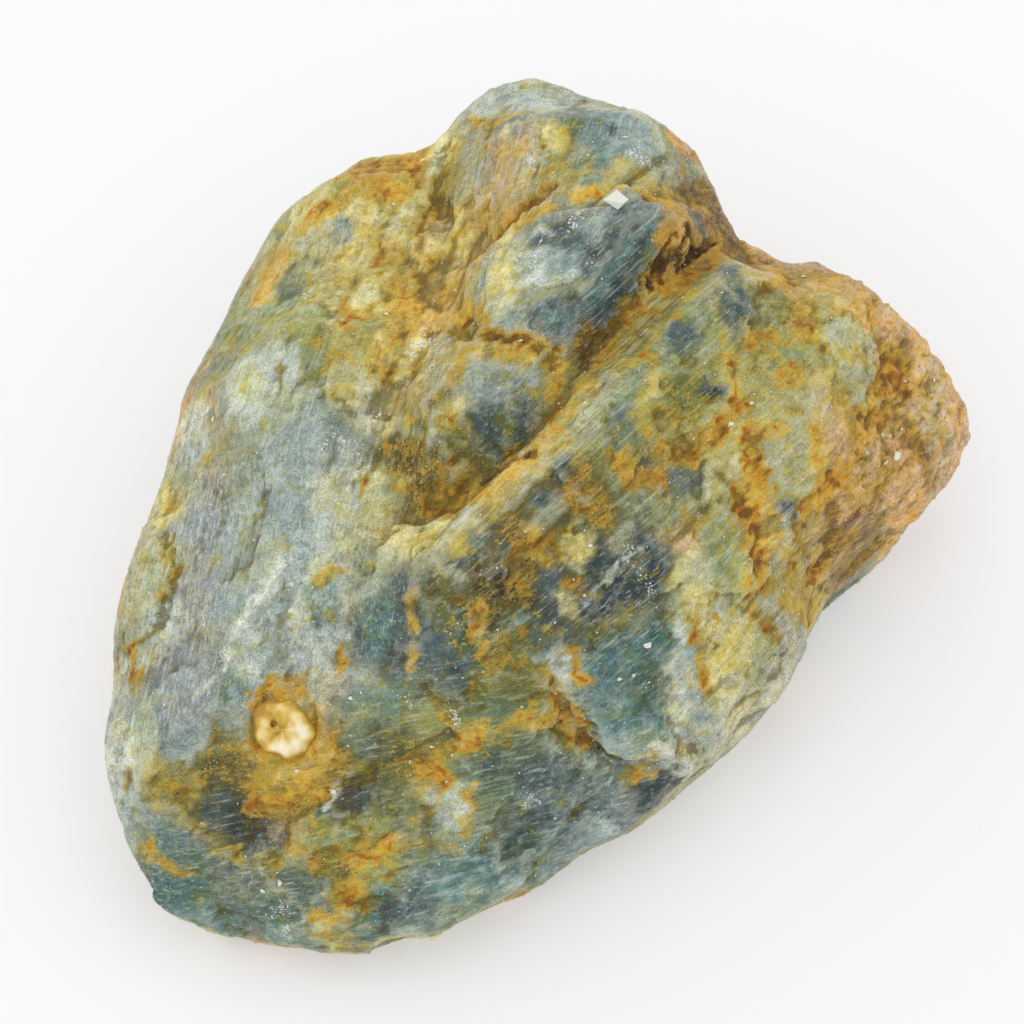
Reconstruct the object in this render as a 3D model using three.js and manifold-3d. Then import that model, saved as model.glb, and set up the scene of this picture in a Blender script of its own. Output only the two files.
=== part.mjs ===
// A rough hand specimen of massive fluorite, broken from a vein: one natural piece, about seven
// centimetres across. Lengths are millimetres, +Z is up, and the stone rests on its flat underside.
//
// The stone is made as a collector would describe it. A rim gives the outline. Large broken faces
// meet above the rim, low ridges and troughs run over them, and smaller cleavage facets tilt the
// whole surface. Blocks with flat crystal faces and a small nodule are joined on, and flat breaks
// take away the stone under the rim.
import * as THREE from 'three';
import { ConvexGeometry } from 'three/addons/geometries/ConvexGeometry.js';
import { ImprovedNoise } from 'three/addons/math/ImprovedNoise.js';
import { mergeVertices } from 'three/addons/utils/BufferGeometryUtils.js';
import Module from 'manifold-3d';

// ---------------------------------------------------------------- driving dimensions
const WIDTH = 70.5; // along X
const DEPTH = 71; // along Y
const HEIGHT = 33.5; // along Z

const BODY_DETAIL = 23; // subdivisions of the starting ball
const TOP_SHARE = 0.6; // share of the ball that becomes the upper side
const UPPER_EDGE = 9; // how tightly the upper side rolls over at the rim
const LOWER_EDGE = 3; // the same for the underside, which is rounder
const UNDERSIDE = -6; // depth that the underside would reach if it weren't broken flat

const FACET_SIZE = 9; // spacing of the small cleavage facets
const FACET_TILT = 0.2; // slope of a facet against the face it sits on
const FACET_STEP = 0.45; // height of a facet above or below its neighbours
const FACET_DISH = 0.034; // how fast a facet curves up to its edges, per millimetre
const ROUGHNESS = 0.5; // height of the irregular relief
const WEAR = 0.6; // how far the large faces' edges are worn towards their surroundings
const WEAR_PASSES = 2;

// ---------------------------------------------------------------- small helpers
const noise = new ImprovedNoise();

// Layered noise about zero, with features of about the given size. Each layer is finer and weaker
// than the last, and is shifted so that their zeros don't line up.
const FINER = 2.1;
const WEAKER = 0.5;
const SHIFT = [7.3, -3.1, 5.7];
function layered(x, y, z, size, layers = 3) {
  let sum = 0;
  for (let i = 0; i < layers; i++) {
    const scale = FINER ** i / size;
    const [u, v, w] = [x, y, z].map((c, axis) => c * scale + SHIFT[axis] * i);
    sum += WEAKER ** i * noise.noise(u, v, w);
  }
  return sum;
}

// The lowest of several heights, with the corner between them worn round.
function softLowest(heights, sharpness) {
  const lowest = Math.min(...heights);
  const sum = heights.reduce((total, h) => total + Math.exp(-sharpness * (h - lowest)), 0);
  return lowest - Math.log(sum) / sharpness;
}

const softHighest = (heights, sharpness) => -softLowest(heights.map((h) => -h), sharpness);

// How far (x, y) is from a path of [x, y] points.
function distanceTo(path, x, y) {
  let best = Infinity;
  for (let i = 0; i + 1 < path.length; i++) {
    const [ax, ay] = path[i];
    const [bx, by] = path[i + 1];
    const length2 = (bx - ax) ** 2 + (by - ay) ** 2;
    const along = ((x - ax) * (bx - ax) + (y - ay) * (by - ay)) / length2;
    const t = Math.min(1, Math.max(0, along));
    best = Math.min(best, Math.hypot(x - ax - t * (bx - ax), y - ay - t * (by - ay)));
  }
  return best;
}

const bell = (distance, width) => Math.exp(-((distance / width) ** 2));

// ---------------------------------------------------------------- rim
// The widest outline of the stone, from the left end clockwise, each point [x, y, z].
const RIM = [
  [-32.2, -15.5, 9],
  [-31.3, -6, 10],
  [-28.6, 1.3, 11],
  [-27.1, 6.8, 12],
  [-25.3, 12.6, 13],
  [-23.7, 18.3, 14],
  [-20.1, 24.5, 15],
  [-16.4, 28.9, 17],
  [-10.8, 31.1, 19],
  [-7, 30.5, 21],
  [-4.2, 33.4, 23],
  [-2, 35.4, 23],
  [2, 37.1, 23],
  [6, 35, 23],
  [9.9, 31.8, 23],
  [12.6, 30, 22],
  [15.5, 26, 21],
  [18, 20.8, 20],
  [21.5, 17.3, 19],
  [25.2, 18, 18],
  [28.6, 16.3, 17],
  [32.6, 12.8, 15],
  [37.1, 10.2, 12],
  [36.9, 6, 9],
  [34.3, 2.3, 7],
  [30.3, -0.9, 5],
  [26, -2.4, 5],
  [24.3, -7, 7],
  [22.4, -11.8, 8],
  [18.5, -16.9, 8],
  [15.4, -19.9, 7],
  [8.7, -23.6, 5],
  [2.6, -26.5, 5],
  [-2.6, -31.2, 5],
  [-8.5, -33.8, 4],
  [-14, -33.2, 4],
  [-18, -32.9, 4],
  [-25.5, -33, 4],
  [-31.2, -32.8, 5],
  [-34.2, -29.2, 6],
  [-31.9, -22, 8],
];
const RIM_SAMPLES = 720;

function rimTable() {
  const curve = new THREE.CatmullRomCurve3(
    RIM.map((p) => new THREE.Vector3(...p)),
    true,
    'centripetal',
  );
  return curve
    .getSpacedPoints(RIM_SAMPLES)
    .map((p) => ({ angle: Math.atan2(p.y, p.x), radius: Math.hypot(p.x, p.y), z: p.z }))
    .sort((a, b) => a.angle - b.angle);
}
const rim = rimTable();

// The rim's radius and height in the direction of an angle.
function rimAt(angle) {
  let next = rim.findIndex((p) => p.angle >= angle);
  if (next < 0) next = 0;
  const after = rim[next];
  const before = rim[(next + rim.length - 1) % rim.length];
  const turn = 2 * Math.PI;
  const gap = (after.angle - before.angle + turn) % turn;
  const t = gap > 0 ? ((angle - before.angle + turn) % turn) / gap : 0;
  return {
    radius: THREE.MathUtils.lerp(before.radius, after.radius, t),
    z: THREE.MathUtils.lerp(before.z, after.z, t),
  };
}

// ---------------------------------------------------------------- broken faces
// Each face passes through a point [x, y, z] and rises by so much per millimetre along X and Y.
const MAIN_FACES = [
  { name: 'left flank', at: [-22, -3.5, 20], rise: [0.75, 0.05] },
  { name: 'back left', at: [-15, 21.5, 21], rise: [0.25, -0.3] },
  { name: 'plateau', at: [0, 5, 27], rise: [0.05, 0.02] },
  { name: 'right face', at: [19, 2, 26], rise: [-0.35, 0.1] },
  { name: 'right end', at: [27, 2, 19], rise: [-1.4, 0.78] },
  { name: 'front right', at: [14.5, -6.5, 22.5], rise: [-0.5, 0.6] },
  { name: 'front right foot', at: [8, -24, 11], rise: [-0.6, 0.9] },
  { name: 'front', at: [-4.5, -19.5, 20.5], rise: [0.1, 0.85] },
  { name: 'front left', at: [-17, -21, 17.5], rise: [0.35, 0.5] },
];
const LOBE_FACES = [
  { name: 'lobe top', at: [6, 26, 28.3], rise: [0.02, -0.4] },
  { name: 'lobe left side', at: [-4.5, 28, 24], rise: [1, 0] },
  { name: 'lobe right side', at: [14.6, 20, 27], rise: [-1.1, -0.3] },
  { name: 'lobe near side', at: [4, 13, 28], rise: [0, 0.9] },
];
const FACE_SHARPNESS = 0.9;
const LOBE_SHARPNESS = 1.2;

const heightOf = ({ at, rise }, x, y) => at[2] + rise[0] * (x - at[0]) + rise[1] * (y - at[1]);

// ---------------------------------------------------------------- ridges and troughs
// A positive height is a ridge and a negative one a trough.
const FOLDS = [
  {
    name: 'fibrous ridge', height: 2.4, width: 2.4,
    path: [[18, 13.5], [10, 5], [3.5, -3], [-5.5, -10.5]],
  },
  {
    name: 'fissure bed', height: -4, width: 1.9,
    path: [[22, 19.5], [12, 13.5], [5.5, 3.5], [0, -3.5], [-7, -8]],
  },
  {
    name: 'ochre trough', height: -2, width: 3.4,
    path: [[-6, 29], [-5, 20], [-7, 11], [-10.5, 2], [-11, -3]],
  },
  {
    name: 'left crest', height: 1, width: 2.2,
    path: [[-14, -1], [-17, -9.5], [-24, -17.5], [-27.5, -25]],
  },
  {
    name: 'left lump', height: 1.2, width: 2,
    path: [[-30, -1], [-30.5, -7]],
  },
  {
    name: 'front ridge', height: 1.1, width: 1.5,
    path: [[-28.5, -25], [-20, -30], [-13.5, -31.5], [0.5, -28]],
  },
  {
    name: 'front valley', height: -1.7, width: 2.2,
    path: [[6, -20.5], [-3, -20.5], [-8.5, -23], [-14, -26.5]],
  },
  {
    name: 'right crack', height: -1.6, width: 1.1,
    path: [[13.5, -3], [18, -4], [17.5, -7.5], [19, -9]],
  },
  {
    name: 'right steps', height: 0.8, width: 1.5,
    path: [[9, -9], [16, 0], [24, 12]],
  },
  {
    name: 'end recess', height: -1.6, width: 1.3,
    path: [[30, 11], [28.5, 4], [26, -2], [24, -6]],
  },
  {
    name: 'end rib', height: 1.2, width: 1.8,
    path: [[35, 9], [31, 0]],
  },
  {
    name: 'chipped foot', height: -1.5, width: 1.2,
    path: [[4, -26.5], [10, -24.8], [15.5, -21.5]],
  },
  {
    name: 'hollow under the block', height: -2.2, width: 3.2,
    path: [[-8.5, -3], [-6, -5]],
  },
  {
    name: 'nodule hollow', height: -1.8, width: 3.2,
    path: [[-17.5, -20], [-15.5, -24]],
  },
];

function foldsAt(x, y) {
  return FOLDS.reduce(
    (sum, { path, height, width }) => sum + height * bell(distanceTo(path, x, y), width),
    0,
  );
}

function upperHeight(x, y) {
  const main = softLowest(MAIN_FACES.map((face) => heightOf(face, x, y)), FACE_SHARPNESS);
  const lobe = softLowest(LOBE_FACES.map((face) => heightOf(face, x, y)), FACE_SHARPNESS);
  return softHighest([main, lobe], LOBE_SHARPNESS) + foldsAt(x, y);
}

// ---------------------------------------------------------------- body
// A point on the unit ball goes to the upper side or the underside, which meet at the rim.
function placeOnStone(point) {
  const angle = Math.atan2(point.y, point.x);
  const edge = rimAt(angle);
  const share = (1 - point.z) / 2;
  const upper = share < TOP_SHARE;
  const t = upper ? Math.sqrt(share / TOP_SHARE) : Math.sqrt((1 - share) / (1 - TOP_SHARE));
  const x = t * edge.radius * Math.cos(angle);
  const y = t * edge.radius * Math.sin(angle);
  const roll = upper ? Math.sqrt(1 - t ** UPPER_EDGE) : Math.sqrt(1 - t ** LOWER_EDGE);
  const target = upper ? upperHeight(x, y) : UNDERSIDE;
  point.set(x, y, edge.z + (target - edge.z) * roll);
}

// A repeatable number from 0 to 1 for a cell of a lattice: the usual sine hash.
function scatter(i, j, k, salt) {
  const s = Math.sin(i * 127.1 + j * 311.7 + k * 74.7 + salt * 53.3) * 43758.5453;
  return s - Math.floor(s);
}

// Shallow dished facets that meet at raised edges, as on a broken mineral.
function facetRelief(p) {
  const at = [p.x, p.y, p.z];
  const cell = at.map((v) => Math.floor(v / FACET_SIZE));
  let relief = Infinity;
  for (let di = -1; di <= 1; di++) {
    for (let dj = -1; dj <= 1; dj++) {
      for (let dk = -1; dk <= 1; dk++) {
        const key = [cell[0] + di, cell[1] + dj, cell[2] + dk];
        const away = at.map((v, axis) => v - FACET_SIZE * (key[axis] + scatter(...key, axis)));
        const tilt = away.reduce((sum, v, axis) => sum + v * (2 * scatter(...key, 4 + axis) - 1), 0);
        const dish = FACET_DISH * away.reduce((sum, v) => sum + v * v, 0);
        const step = FACET_STEP * (2 * scatter(...key, 8) - 1);
        relief = Math.min(relief, FACET_TILT * tilt + dish + step);
      }
    }
  }
  return relief;
}

function weld(geometry) {
  const bare = geometry.clone();
  bare.deleteAttribute('normal');
  bare.deleteAttribute('uv');
  return mergeVertices(bare, 1e-4);
}

// Moves every point part of the way to the middle of its neighbours.
function settle(body, share) {
  const place = body.getAttribute('position');
  const sums = Array.from({ length: place.count }, () => new THREE.Vector3());
  const counts = new Array(place.count).fill(0);
  const corner = new THREE.Vector3();
  for (let k = 0; k < body.index.count; k++) {
    const next = k % 3 === 2 ? k - 2 : k + 1;
    const to = body.index.getX(k);
    sums[to].add(corner.fromBufferAttribute(place, body.index.getX(next)));
    counts[to] += 1;
  }
  for (let i = 0; i < place.count; i++) {
    corner.fromBufferAttribute(place, i).lerp(sums[i].divideScalar(counts[i]), share);
    place.setXYZ(i, corner.x, corner.y, corner.z);
  }
}

function makeBody() {
  const body = weld(new THREE.IcosahedronGeometry(1, BODY_DETAIL));
  const place = body.getAttribute('position');
  const point = new THREE.Vector3();
  for (let i = 0; i < place.count; i++) {
    point.fromBufferAttribute(place, i).normalize();
    placeOnStone(point);
    place.setXYZ(i, point.x, point.y, point.z);
  }
  for (let pass = 0; pass < WEAR_PASSES; pass++) settle(body, WEAR);
  body.computeVertexNormals();
  const out = body.getAttribute('normal');
  for (let i = 0; i < place.count; i++) {
    point.fromBufferAttribute(place, i);
    const relief = facetRelief(point) + ROUGHNESS * layered(point.x, point.y, point.z, 7);
    place.setXYZ(
      i,
      point.x + relief * out.getX(i),
      point.y + relief * out.getY(i),
      point.z + relief * out.getZ(i),
    );
  }
  return body;
}

// ---------------------------------------------------------------- crystal blocks
// The corners of each block, from its top face down to its buried root.
const BLOCKS = [
  {
    name: 'upper block',
    corners: [
      [2.5, 15.5, 32], [8, 16, 33.5], [12, 15, 33.5], [6.7, 9.2, 33.2], [3.2, 3.6, 31.2], [-2, 7, 30],
      [14.5, 16, 30.5], [12.8, 12.6, 28], [8, 6.5, 27], [5.2, 3.6, 27.5],
      [-4, 14, 27.5], [14.5, 18.5, 27], [2, 18.5, 27],
      [12.5, 13.5, 21], [6.6, 5.4, 21], [4, 2.4, 20], [-4, 4, 20], [-4, 15, 20], [12, 18, 20],
    ],
  },
  {
    name: 'lower block',
    corners: [
      [-5, 6.5, 28.6], [-1.5, 6.8, 29.8], [2.6, 4.4, 30], [4.8, 2.4, 28.4], [3.2, 0.6, 28.2],
      [-0.4, -0.6, 28.4], [-4.6, 0.4, 27.8], [-7, 3.4, 27.2],
      [-8.8, 3.8, 25], [-8.6, 0.4, 24.6], [-5.6, -2, 24.2], [-1.2, -3.4, 24],
      [2.8, -2.4, 24.6], [5, 0.4, 26],
      [-7.4, 1, 21], [-4.6, -0.8, 21], [-0.8, -2, 21], [2.4, -1, 21], [5, 4.6, 20], [-6, 6, 21],
    ],
  },
  {
    name: 'teal ledge',
    corners: [
      [1, -17, 21], [4.5, -14.6, 21.2], [10.5, -12.5, 20.1], [15.4, -15, 14.8], [16, -18.5, 9.4],
      [3.6, -20, 18.9], [6.6, -21.8, 15.4], [11, -22.8, 11.4], [14.5, -21.4, 7.8],
      [3, -17, 10], [6, -19.5, 9], [10, -21, 7], [14, -19.5, 6], [13, -14, 8], [6, -14, 9],
    ],
  },
  {
    name: 'white grain',
    corners: [
      [6.8, 16.4, 33.5], [8.4, 17.6, 34.2], [10.2, 16.4, 33.8], [8.6, 15.2, 33.4],
      [7, 17.2, 31], [9.8, 17, 31], [8.4, 15.8, 31],
    ],
  },
];

// ---------------------------------------------------------------- breaks
// Flat breaks under the rim. Each faces away from the Z axis at its azimuth, meets the resting level
// so far out, and leans outwards above it by the undercut. An undercut of 90 degrees lies flat.
const BREAKS = [
  { name: 'resting face', azimuth: 0, foot: 0, undercut: 90 },
  { name: 'right end', azimuth: 12, foot: 29.5, undercut: 40 },
  { name: 'back right', azimuth: 58, foot: 20, undercut: 46 },
  { name: 'back', azimuth: 101, foot: 24, undercut: 34 },
  { name: 'back left', azimuth: 146, foot: 23, undercut: 29 },
  { name: 'left', azimuth: 187, foot: 27, undercut: 38 },
  { name: 'front right', azimuth: 312, foot: 24, undercut: 32 },
];

// ---------------------------------------------------------------- nodule
// A small pale ring of later mineral that grew in the hollow at the front left.
const NODULE = {
  at: [-17, -21],
  lift: 0.25, // of the ring's middle above the surface
  ringRadius: 1.8,
  lipRadius: 0.85,
  lipSides: 6,
  ringSides: 15,
  unevenness: 0.4,
  lumpSize: 2.2,
};

// The height of a body's surface, looking straight down at (x, y).
function surfaceHeight(body, x, y) {
  const down = new THREE.Raycaster(new THREE.Vector3(x, y, 2 * HEIGHT), new THREE.Vector3(0, 0, -1));
  return down.intersectObject(new THREE.Mesh(body))[0].point.z;
}

function surfaceNormal(body, x, y, reach) {
  const alongX = surfaceHeight(body, x + reach, y) - surfaceHeight(body, x - reach, y);
  const alongY = surfaceHeight(body, x, y + reach) - surfaceHeight(body, x, y - reach);
  return new THREE.Vector3(-alongX, -alongY, 2 * reach).normalize();
}

function makeNodule(body) {
  const { at, lift, ringRadius, lipRadius, lipSides, ringSides, unevenness, lumpSize } = NODULE;
  const nodule = weld(new THREE.TorusGeometry(ringRadius, lipRadius, lipSides, ringSides));
  const place = nodule.getAttribute('position');
  const point = new THREE.Vector3();
  for (let i = 0; i < place.count; i++) {
    point.fromBufferAttribute(place, i);
    point.multiplyScalar(1 + unevenness * layered(point.x, point.y, point.z, lumpSize, 2));
    place.setXYZ(i, point.x, point.y, point.z);
  }
  const up = surfaceNormal(body, ...at, ringRadius);
  const turn = new THREE.Quaternion().setFromUnitVectors(new THREE.Vector3(0, 0, 1), up);
  const middle = new THREE.Vector3(...at, surfaceHeight(body, ...at)).addScaledVector(up, lift);
  return nodule.applyQuaternion(turn).translate(middle.x, middle.y, middle.z);
}

// ---------------------------------------------------------------- assembly of the one solid
const wasm = await Module();
wasm.setup();

function solidFrom(geometry) {
  const welded = weld(geometry);
  return new wasm.Manifold(
    new wasm.Mesh({
      numProp: 3,
      vertProperties: new Float32Array(welded.getAttribute('position').array),
      triVerts: new Uint32Array(welded.index.array),
    }),
  );
}

function geometryFrom(solid) {
  const mesh = solid.getMesh();
  return new THREE.BufferGeometry()
    .setAttribute('position', new THREE.BufferAttribute(mesh.vertProperties, 3))
    .setIndex(new THREE.BufferAttribute(mesh.triVerts, 1));
}

const blockSolid = ({ corners }) =>
  solidFrom(new ConvexGeometry(corners.map((c) => new THREE.Vector3(...c))));

function breakOff(solid, { azimuth, foot, undercut }) {
  const size = 4 * WIDTH;
  const waste = new THREE.BoxGeometry(size, size, size)
    .translate(size / 2, 0, 0)
    .rotateY(THREE.MathUtils.degToRad(undercut))
    .translate(foot, 0, 0)
    .rotateZ(THREE.MathUtils.degToRad(azimuth));
  return solid.subtract(solidFrom(waste));
}

// Brings the stone to its stated size, standing on the middle of its flat underside.
function toSize(geometry) {
  geometry.computeBoundingBox();
  const { min, max } = geometry.boundingBox;
  geometry.translate(-(min.x + max.x) / 2, -(min.y + max.y) / 2, -min.z);
  return geometry.scale(WIDTH / (max.x - min.x), DEPTH / (max.y - min.y), HEIGHT / (max.z - min.z));
}

function makeStone() {
  const body = makeBody();
  const joined = BLOCKS.reduce((solid, block) => solid.add(blockSolid(block)), solidFrom(body));
  const whole = joined.add(solidFrom(makeNodule(body)));
  return toSize(geometryFrom(BREAKS.reduce(breakOff, whole)));
}

const fluoriteFinish = new THREE.MeshStandardMaterial({ color: 0x8a9c8b, roughness: 0.45, metalness: 0 });
const fluorite = new THREE.Mesh(makeStone(), fluoriteFinish);
fluorite.name = 'fluorite';

const specimen = new THREE.Group();
specimen.add(fluorite);
export default specimen;
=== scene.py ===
# %% [markdown]
# # A raw fluorite specimen
#
# This lesson dresses a plain solid of a broken lump of fluorite, about seven centimetres across, as
# the real mineral: cleaved and striated, milky in places and slate-teal in others, with iron ochre in
# its seams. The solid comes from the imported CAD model, and everything else is made here.

import itertools
import math
import random

import bmesh
import bpy
import numpy as np
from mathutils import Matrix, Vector


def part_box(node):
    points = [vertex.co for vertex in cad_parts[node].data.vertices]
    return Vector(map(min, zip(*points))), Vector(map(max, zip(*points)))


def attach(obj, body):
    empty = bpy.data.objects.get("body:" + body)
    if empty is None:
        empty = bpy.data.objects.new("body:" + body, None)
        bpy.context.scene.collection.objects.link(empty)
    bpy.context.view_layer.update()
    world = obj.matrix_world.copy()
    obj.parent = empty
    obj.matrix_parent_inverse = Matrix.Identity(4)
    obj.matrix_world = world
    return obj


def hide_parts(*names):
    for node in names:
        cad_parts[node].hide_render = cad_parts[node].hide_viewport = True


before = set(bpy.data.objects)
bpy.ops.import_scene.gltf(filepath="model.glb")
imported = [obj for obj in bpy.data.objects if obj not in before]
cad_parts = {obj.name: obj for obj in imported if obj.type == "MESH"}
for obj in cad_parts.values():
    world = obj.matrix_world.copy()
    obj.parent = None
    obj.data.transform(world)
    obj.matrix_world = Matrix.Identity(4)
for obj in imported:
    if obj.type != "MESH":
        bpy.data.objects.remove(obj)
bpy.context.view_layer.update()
MM = 0.001
low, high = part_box("fluorite")
print("the stone spans", [round(v / MM, 1) for v in high - low], "mm")

# %% [markdown]
# ## The camera
#
# The camera comes first, so that each later step can be looked at from the right side. It stands in
# front of the stone's low end and looks down at sixty degrees, with a long lens that keeps the near
# and far ends in proportion.

# %% Place the camera
CAMERA_TARGET = Vector((-2.85, -0.6, 12)) * MM
CAMERA_DISTANCE = 230 * MM
CAMERA_ELEVATION = math.radians(60)
TO_CAMERA = Vector((0, -math.cos(CAMERA_ELEVATION), math.sin(CAMERA_ELEVATION)))

camera_data = bpy.data.cameras.new("camera")
camera_data.lens = 100
camera_data.sensor_width = 36
camera_data.clip_end = 100
camera = bpy.data.objects.new("camera", camera_data)
camera.location = CAMERA_TARGET + TO_CAMERA * CAMERA_DISTANCE
camera.rotation_euler = (-TO_CAMERA).to_track_quat("-Z", "Y").to_euler()
bpy.context.scene.collection.objects.link(camera)
bpy.context.scene.camera = camera
print("the camera stands", round(CAMERA_DISTANCE / MM), "mm from its target")

# %% [markdown]
# ## A fine skin for the stone
#
# The CAD solid has facets of a millimetre or two, which is right for collisions and too coarse for
# broken crystal. A voxel remesh wraps it in an even net of small quads that can carry real relief.
# The flat face that the stone rests on needs no net, so it is dissolved into one large face.

# %% Wrap the solid in an even net
NET_SIZE = 0.346 * MM  # the side of a quad of the net


def merged_copy(node):
    """A copy of a CAD node's loose triangles with their shared corners merged."""
    copy = bmesh.new()
    copy.from_mesh(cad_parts[node].data)
    bmesh.ops.remove_doubles(copy, verts=copy.verts, dist=0.001 * MM)
    mesh = bpy.data.meshes.new("stone")
    copy.to_mesh(mesh)
    copy.free()
    return mesh


def evaluated_mesh(thing):
    """The mesh that an object's modifiers make, as a new plain mesh."""
    graph = bpy.context.evaluated_depsgraph_get()
    return bpy.data.meshes.new_from_object(thing.evaluated_get(graph))


stone = bpy.data.objects.new("stone", merged_copy("fluorite"))
bpy.context.scene.collection.objects.link(stone)
remesh = stone.modifiers.new("net", "REMESH")
remesh.mode = "VOXEL"
remesh.voxel_size = NET_SIZE
skin = evaluated_mesh(stone)
stone.modifiers.clear()
stone.data = skin
print("the net has", len(skin.polygons), "quads")

# %% Make the resting face one large face
FOOT_LEVEL = 0.12 * MM  # corners below this lie on the resting face


def dissolve_foot(mesh):
    """Joins the quads that lie flat on the ground, apart from a border two quads wide."""
    net = bmesh.new()
    net.from_mesh(mesh)
    flat = {f for f in net.faces if all(v.co.z < FOOT_LEVEL for v in f.verts)}
    for _ in range(2):
        flat = {f for f in flat if all(n in flat for e in f.edges for n in e.link_faces)}
    in_order = [f for f in net.faces if f in flat]  # a set has no order of its own
    bmesh.ops.dissolve_faces(net, faces=in_order, use_verts=False)
    bmesh.ops.triangulate(net, faces=[f for f in net.faces if len(f.verts) > 4])
    net.to_mesh(mesh)
    net.free()


dissolve_foot(skin)
print("with the foot dissolved it has", sum(len(f.vertices) - 2 for f in skin.polygons), "triangles")

# %% [markdown]
# ## Numbers on the net
#
# The relief and the colours are worked out for all corners at once, as NumPy arrays in millimetres.
# Three tools do most of the work: a hash that gives each cell of a lattice its own repeatable random
# number, smooth noise made from that hash, and grains, which are the cells that a scatter of seed
# points divides space into. A cleaved mineral breaks into just such cells.

# %% Hash, noise and grains
CORNERS = list(itertools.product((0, 1), repeat=3))
AROUND = list(itertools.product((-1, 0, 1), repeat=3))


def hashed(cell, salt):
    """A repeatable number from 0 to 1 for each row of whole numbers."""
    mix = cell[:, 0] * 73856093 ^ cell[:, 1] * 19349663 ^ cell[:, 2] * 83492791 ^ salt * 40503
    mix = (mix & 0x7FFFFFFF) * 1274126177 & 0xFFFFFFFF
    mix = ((mix >> 15) ^ mix) * 1103515245 & 0xFFFFFFFF
    mix ^= mix >> 16
    return (mix & 0xFFFFFF) / 0x1000000


def noise(points, size, salt=0, layers=1):
    """Smooth noise from about -1 to 1, with features of about the given size in millimetres."""
    total = np.zeros(len(points))
    for layer in range(layers):
        scaled = points / size * 2.1**layer + 7.7 * layer
        cell = np.floor(scaled).astype(np.int64)
        part = scaled - cell
        fade = part**3 * (part * (part * 6 - 15) + 10)
        for corner in CORNERS:
            slope = np.stack([hashed(cell + corner, salt + 9 * layer + k) for k in range(3)], 1)
            height = ((part - corner) * (2 * slope - 1)).sum(1)
            total += 0.5**layer * height * np.where(corner, fade, 1 - fade).prod(1)
    return 1.9 * total


def grains(points, size, salt):
    """How deep each point lies inside its grain, in millimetres, and the grain's own number."""
    scaled = points / size
    cell = np.floor(scaled).astype(np.int64)
    nearest = np.full(len(points), np.inf)
    second = np.full(len(points), np.inf)
    number = np.zeros(len(points))
    for step in AROUND:
        key = cell + step
        seed = np.stack([hashed(key, salt + k) for k in range(3)], 1)
        reach = np.linalg.norm(scaled - key - seed, axis=1)
        number = np.where(reach < nearest, hashed(key, salt + 4), number)
        second = np.where(reach < nearest, nearest, np.minimum(second, reach))
        nearest = np.minimum(nearest, reach)
    return (second - nearest) * size, number


def ramp(value, start, end):
    """0 below start, 1 above end, and a smooth rise between them."""
    t = np.clip((value - start) / (end - start), 0, 1)
    return t * t * (3 - 2 * t)


# %% The net as arrays
def read_vectors(mesh, source):
    """The corners' places ("co") or normals ("normal") as rows."""
    flat = np.empty(len(mesh.vertices) * 3, np.float32)
    mesh.vertices.foreach_get(source, flat)
    return flat.reshape(-1, 3).astype(float)


def write_points(mesh, points):
    """Moves the corners to points in millimetres, and returns their new normals."""
    mesh.vertices.foreach_set("co", (points * MM).astype(np.float32).ravel())
    mesh.update()
    return read_vectors(mesh, "normal")


edge_ends = np.empty(len(skin.edges) * 2, np.int32)
skin.edges.foreach_get("vertices", edge_ends)
edge_ends = edge_ends.reshape(-1, 2)
ends_from = np.concatenate([edge_ends[:, 0], edge_ends[:, 1]])
ends_to = np.concatenate([edge_ends[:, 1], edge_ends[:, 0]])
neighbour_count = np.bincount(ends_from, minlength=len(skin.vertices))


def neighbour_mean(values):
    """Each corner's mean over the corners that it shares an edge with."""
    columns = values.reshape(len(values), -1)
    sums = [np.bincount(ends_from, c[ends_to], len(values)) for c in columns.T]
    return (np.stack(sums, 1) / neighbour_count[:, None]).reshape(values.shape)


# %% [markdown]
# ## Wearing the coarse facets away
#
# Averaging each corner with its neighbours a few times rounds off the CAD model's own triangles and
# leaves the stone's large faces. Two crystal blocks and a ledge keep sharper edges than the rest, and
# the resting face stays flat. Before that, the fissure beside the upper block is filled with silt,
# which slopes gently from the crest of the ridge down to the block's wall. Places on the fissure are
# told by how far along it they lie, and how far aside towards the ridge.

# %% Smooth the net
SMOOTH_PASSES = 27
FISSURE = [(4, 4.2), (12.6, 15.6)]  # from its low end to its high end, in plan
CREST, CREST_DROP = 28.8, 2  # height of the ridge beside it, and how far it drops on the way up
SILT_REACH = 3.3  # from the wall of the fissure to the crest of the ridge
SILT_FALL = 0.35  # how much lower the silt lies for each millimetre nearer the wall
SHARPER = [((4.5, 10.5), 7.5), ((-3, 1.5), 5.5), ((6, -17.5), 5)]  # blocks and ledge: (middle, reach)

points = read_vectors(skin, "co") / MM
on_foot = points[:, 2] < FOOT_LEVEL / MM
start, end = np.array(FISSURE)
run = (end - start) / np.linalg.norm(end - start)
along = (points[:, :2] - start) @ run
aside = (points[:, :2] - start) @ (run[1], -run[0])
crest = CREST - CREST_DROP * ramp(along, 8, 14)
level = crest - SILT_FALL * (SILT_REACH - aside)
here = ramp(along, -2.5, -0.5) * ramp(-along, -16, -14.5)  # the silt thins out at both ends
here *= ramp(aside, -2, -1.4) * ramp(-aside, -SILT_REACH - 0.6, -SILT_REACH)  # and at both sides
points[:, 2] += here * np.maximum(level - points[:, 2], 0)

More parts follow.
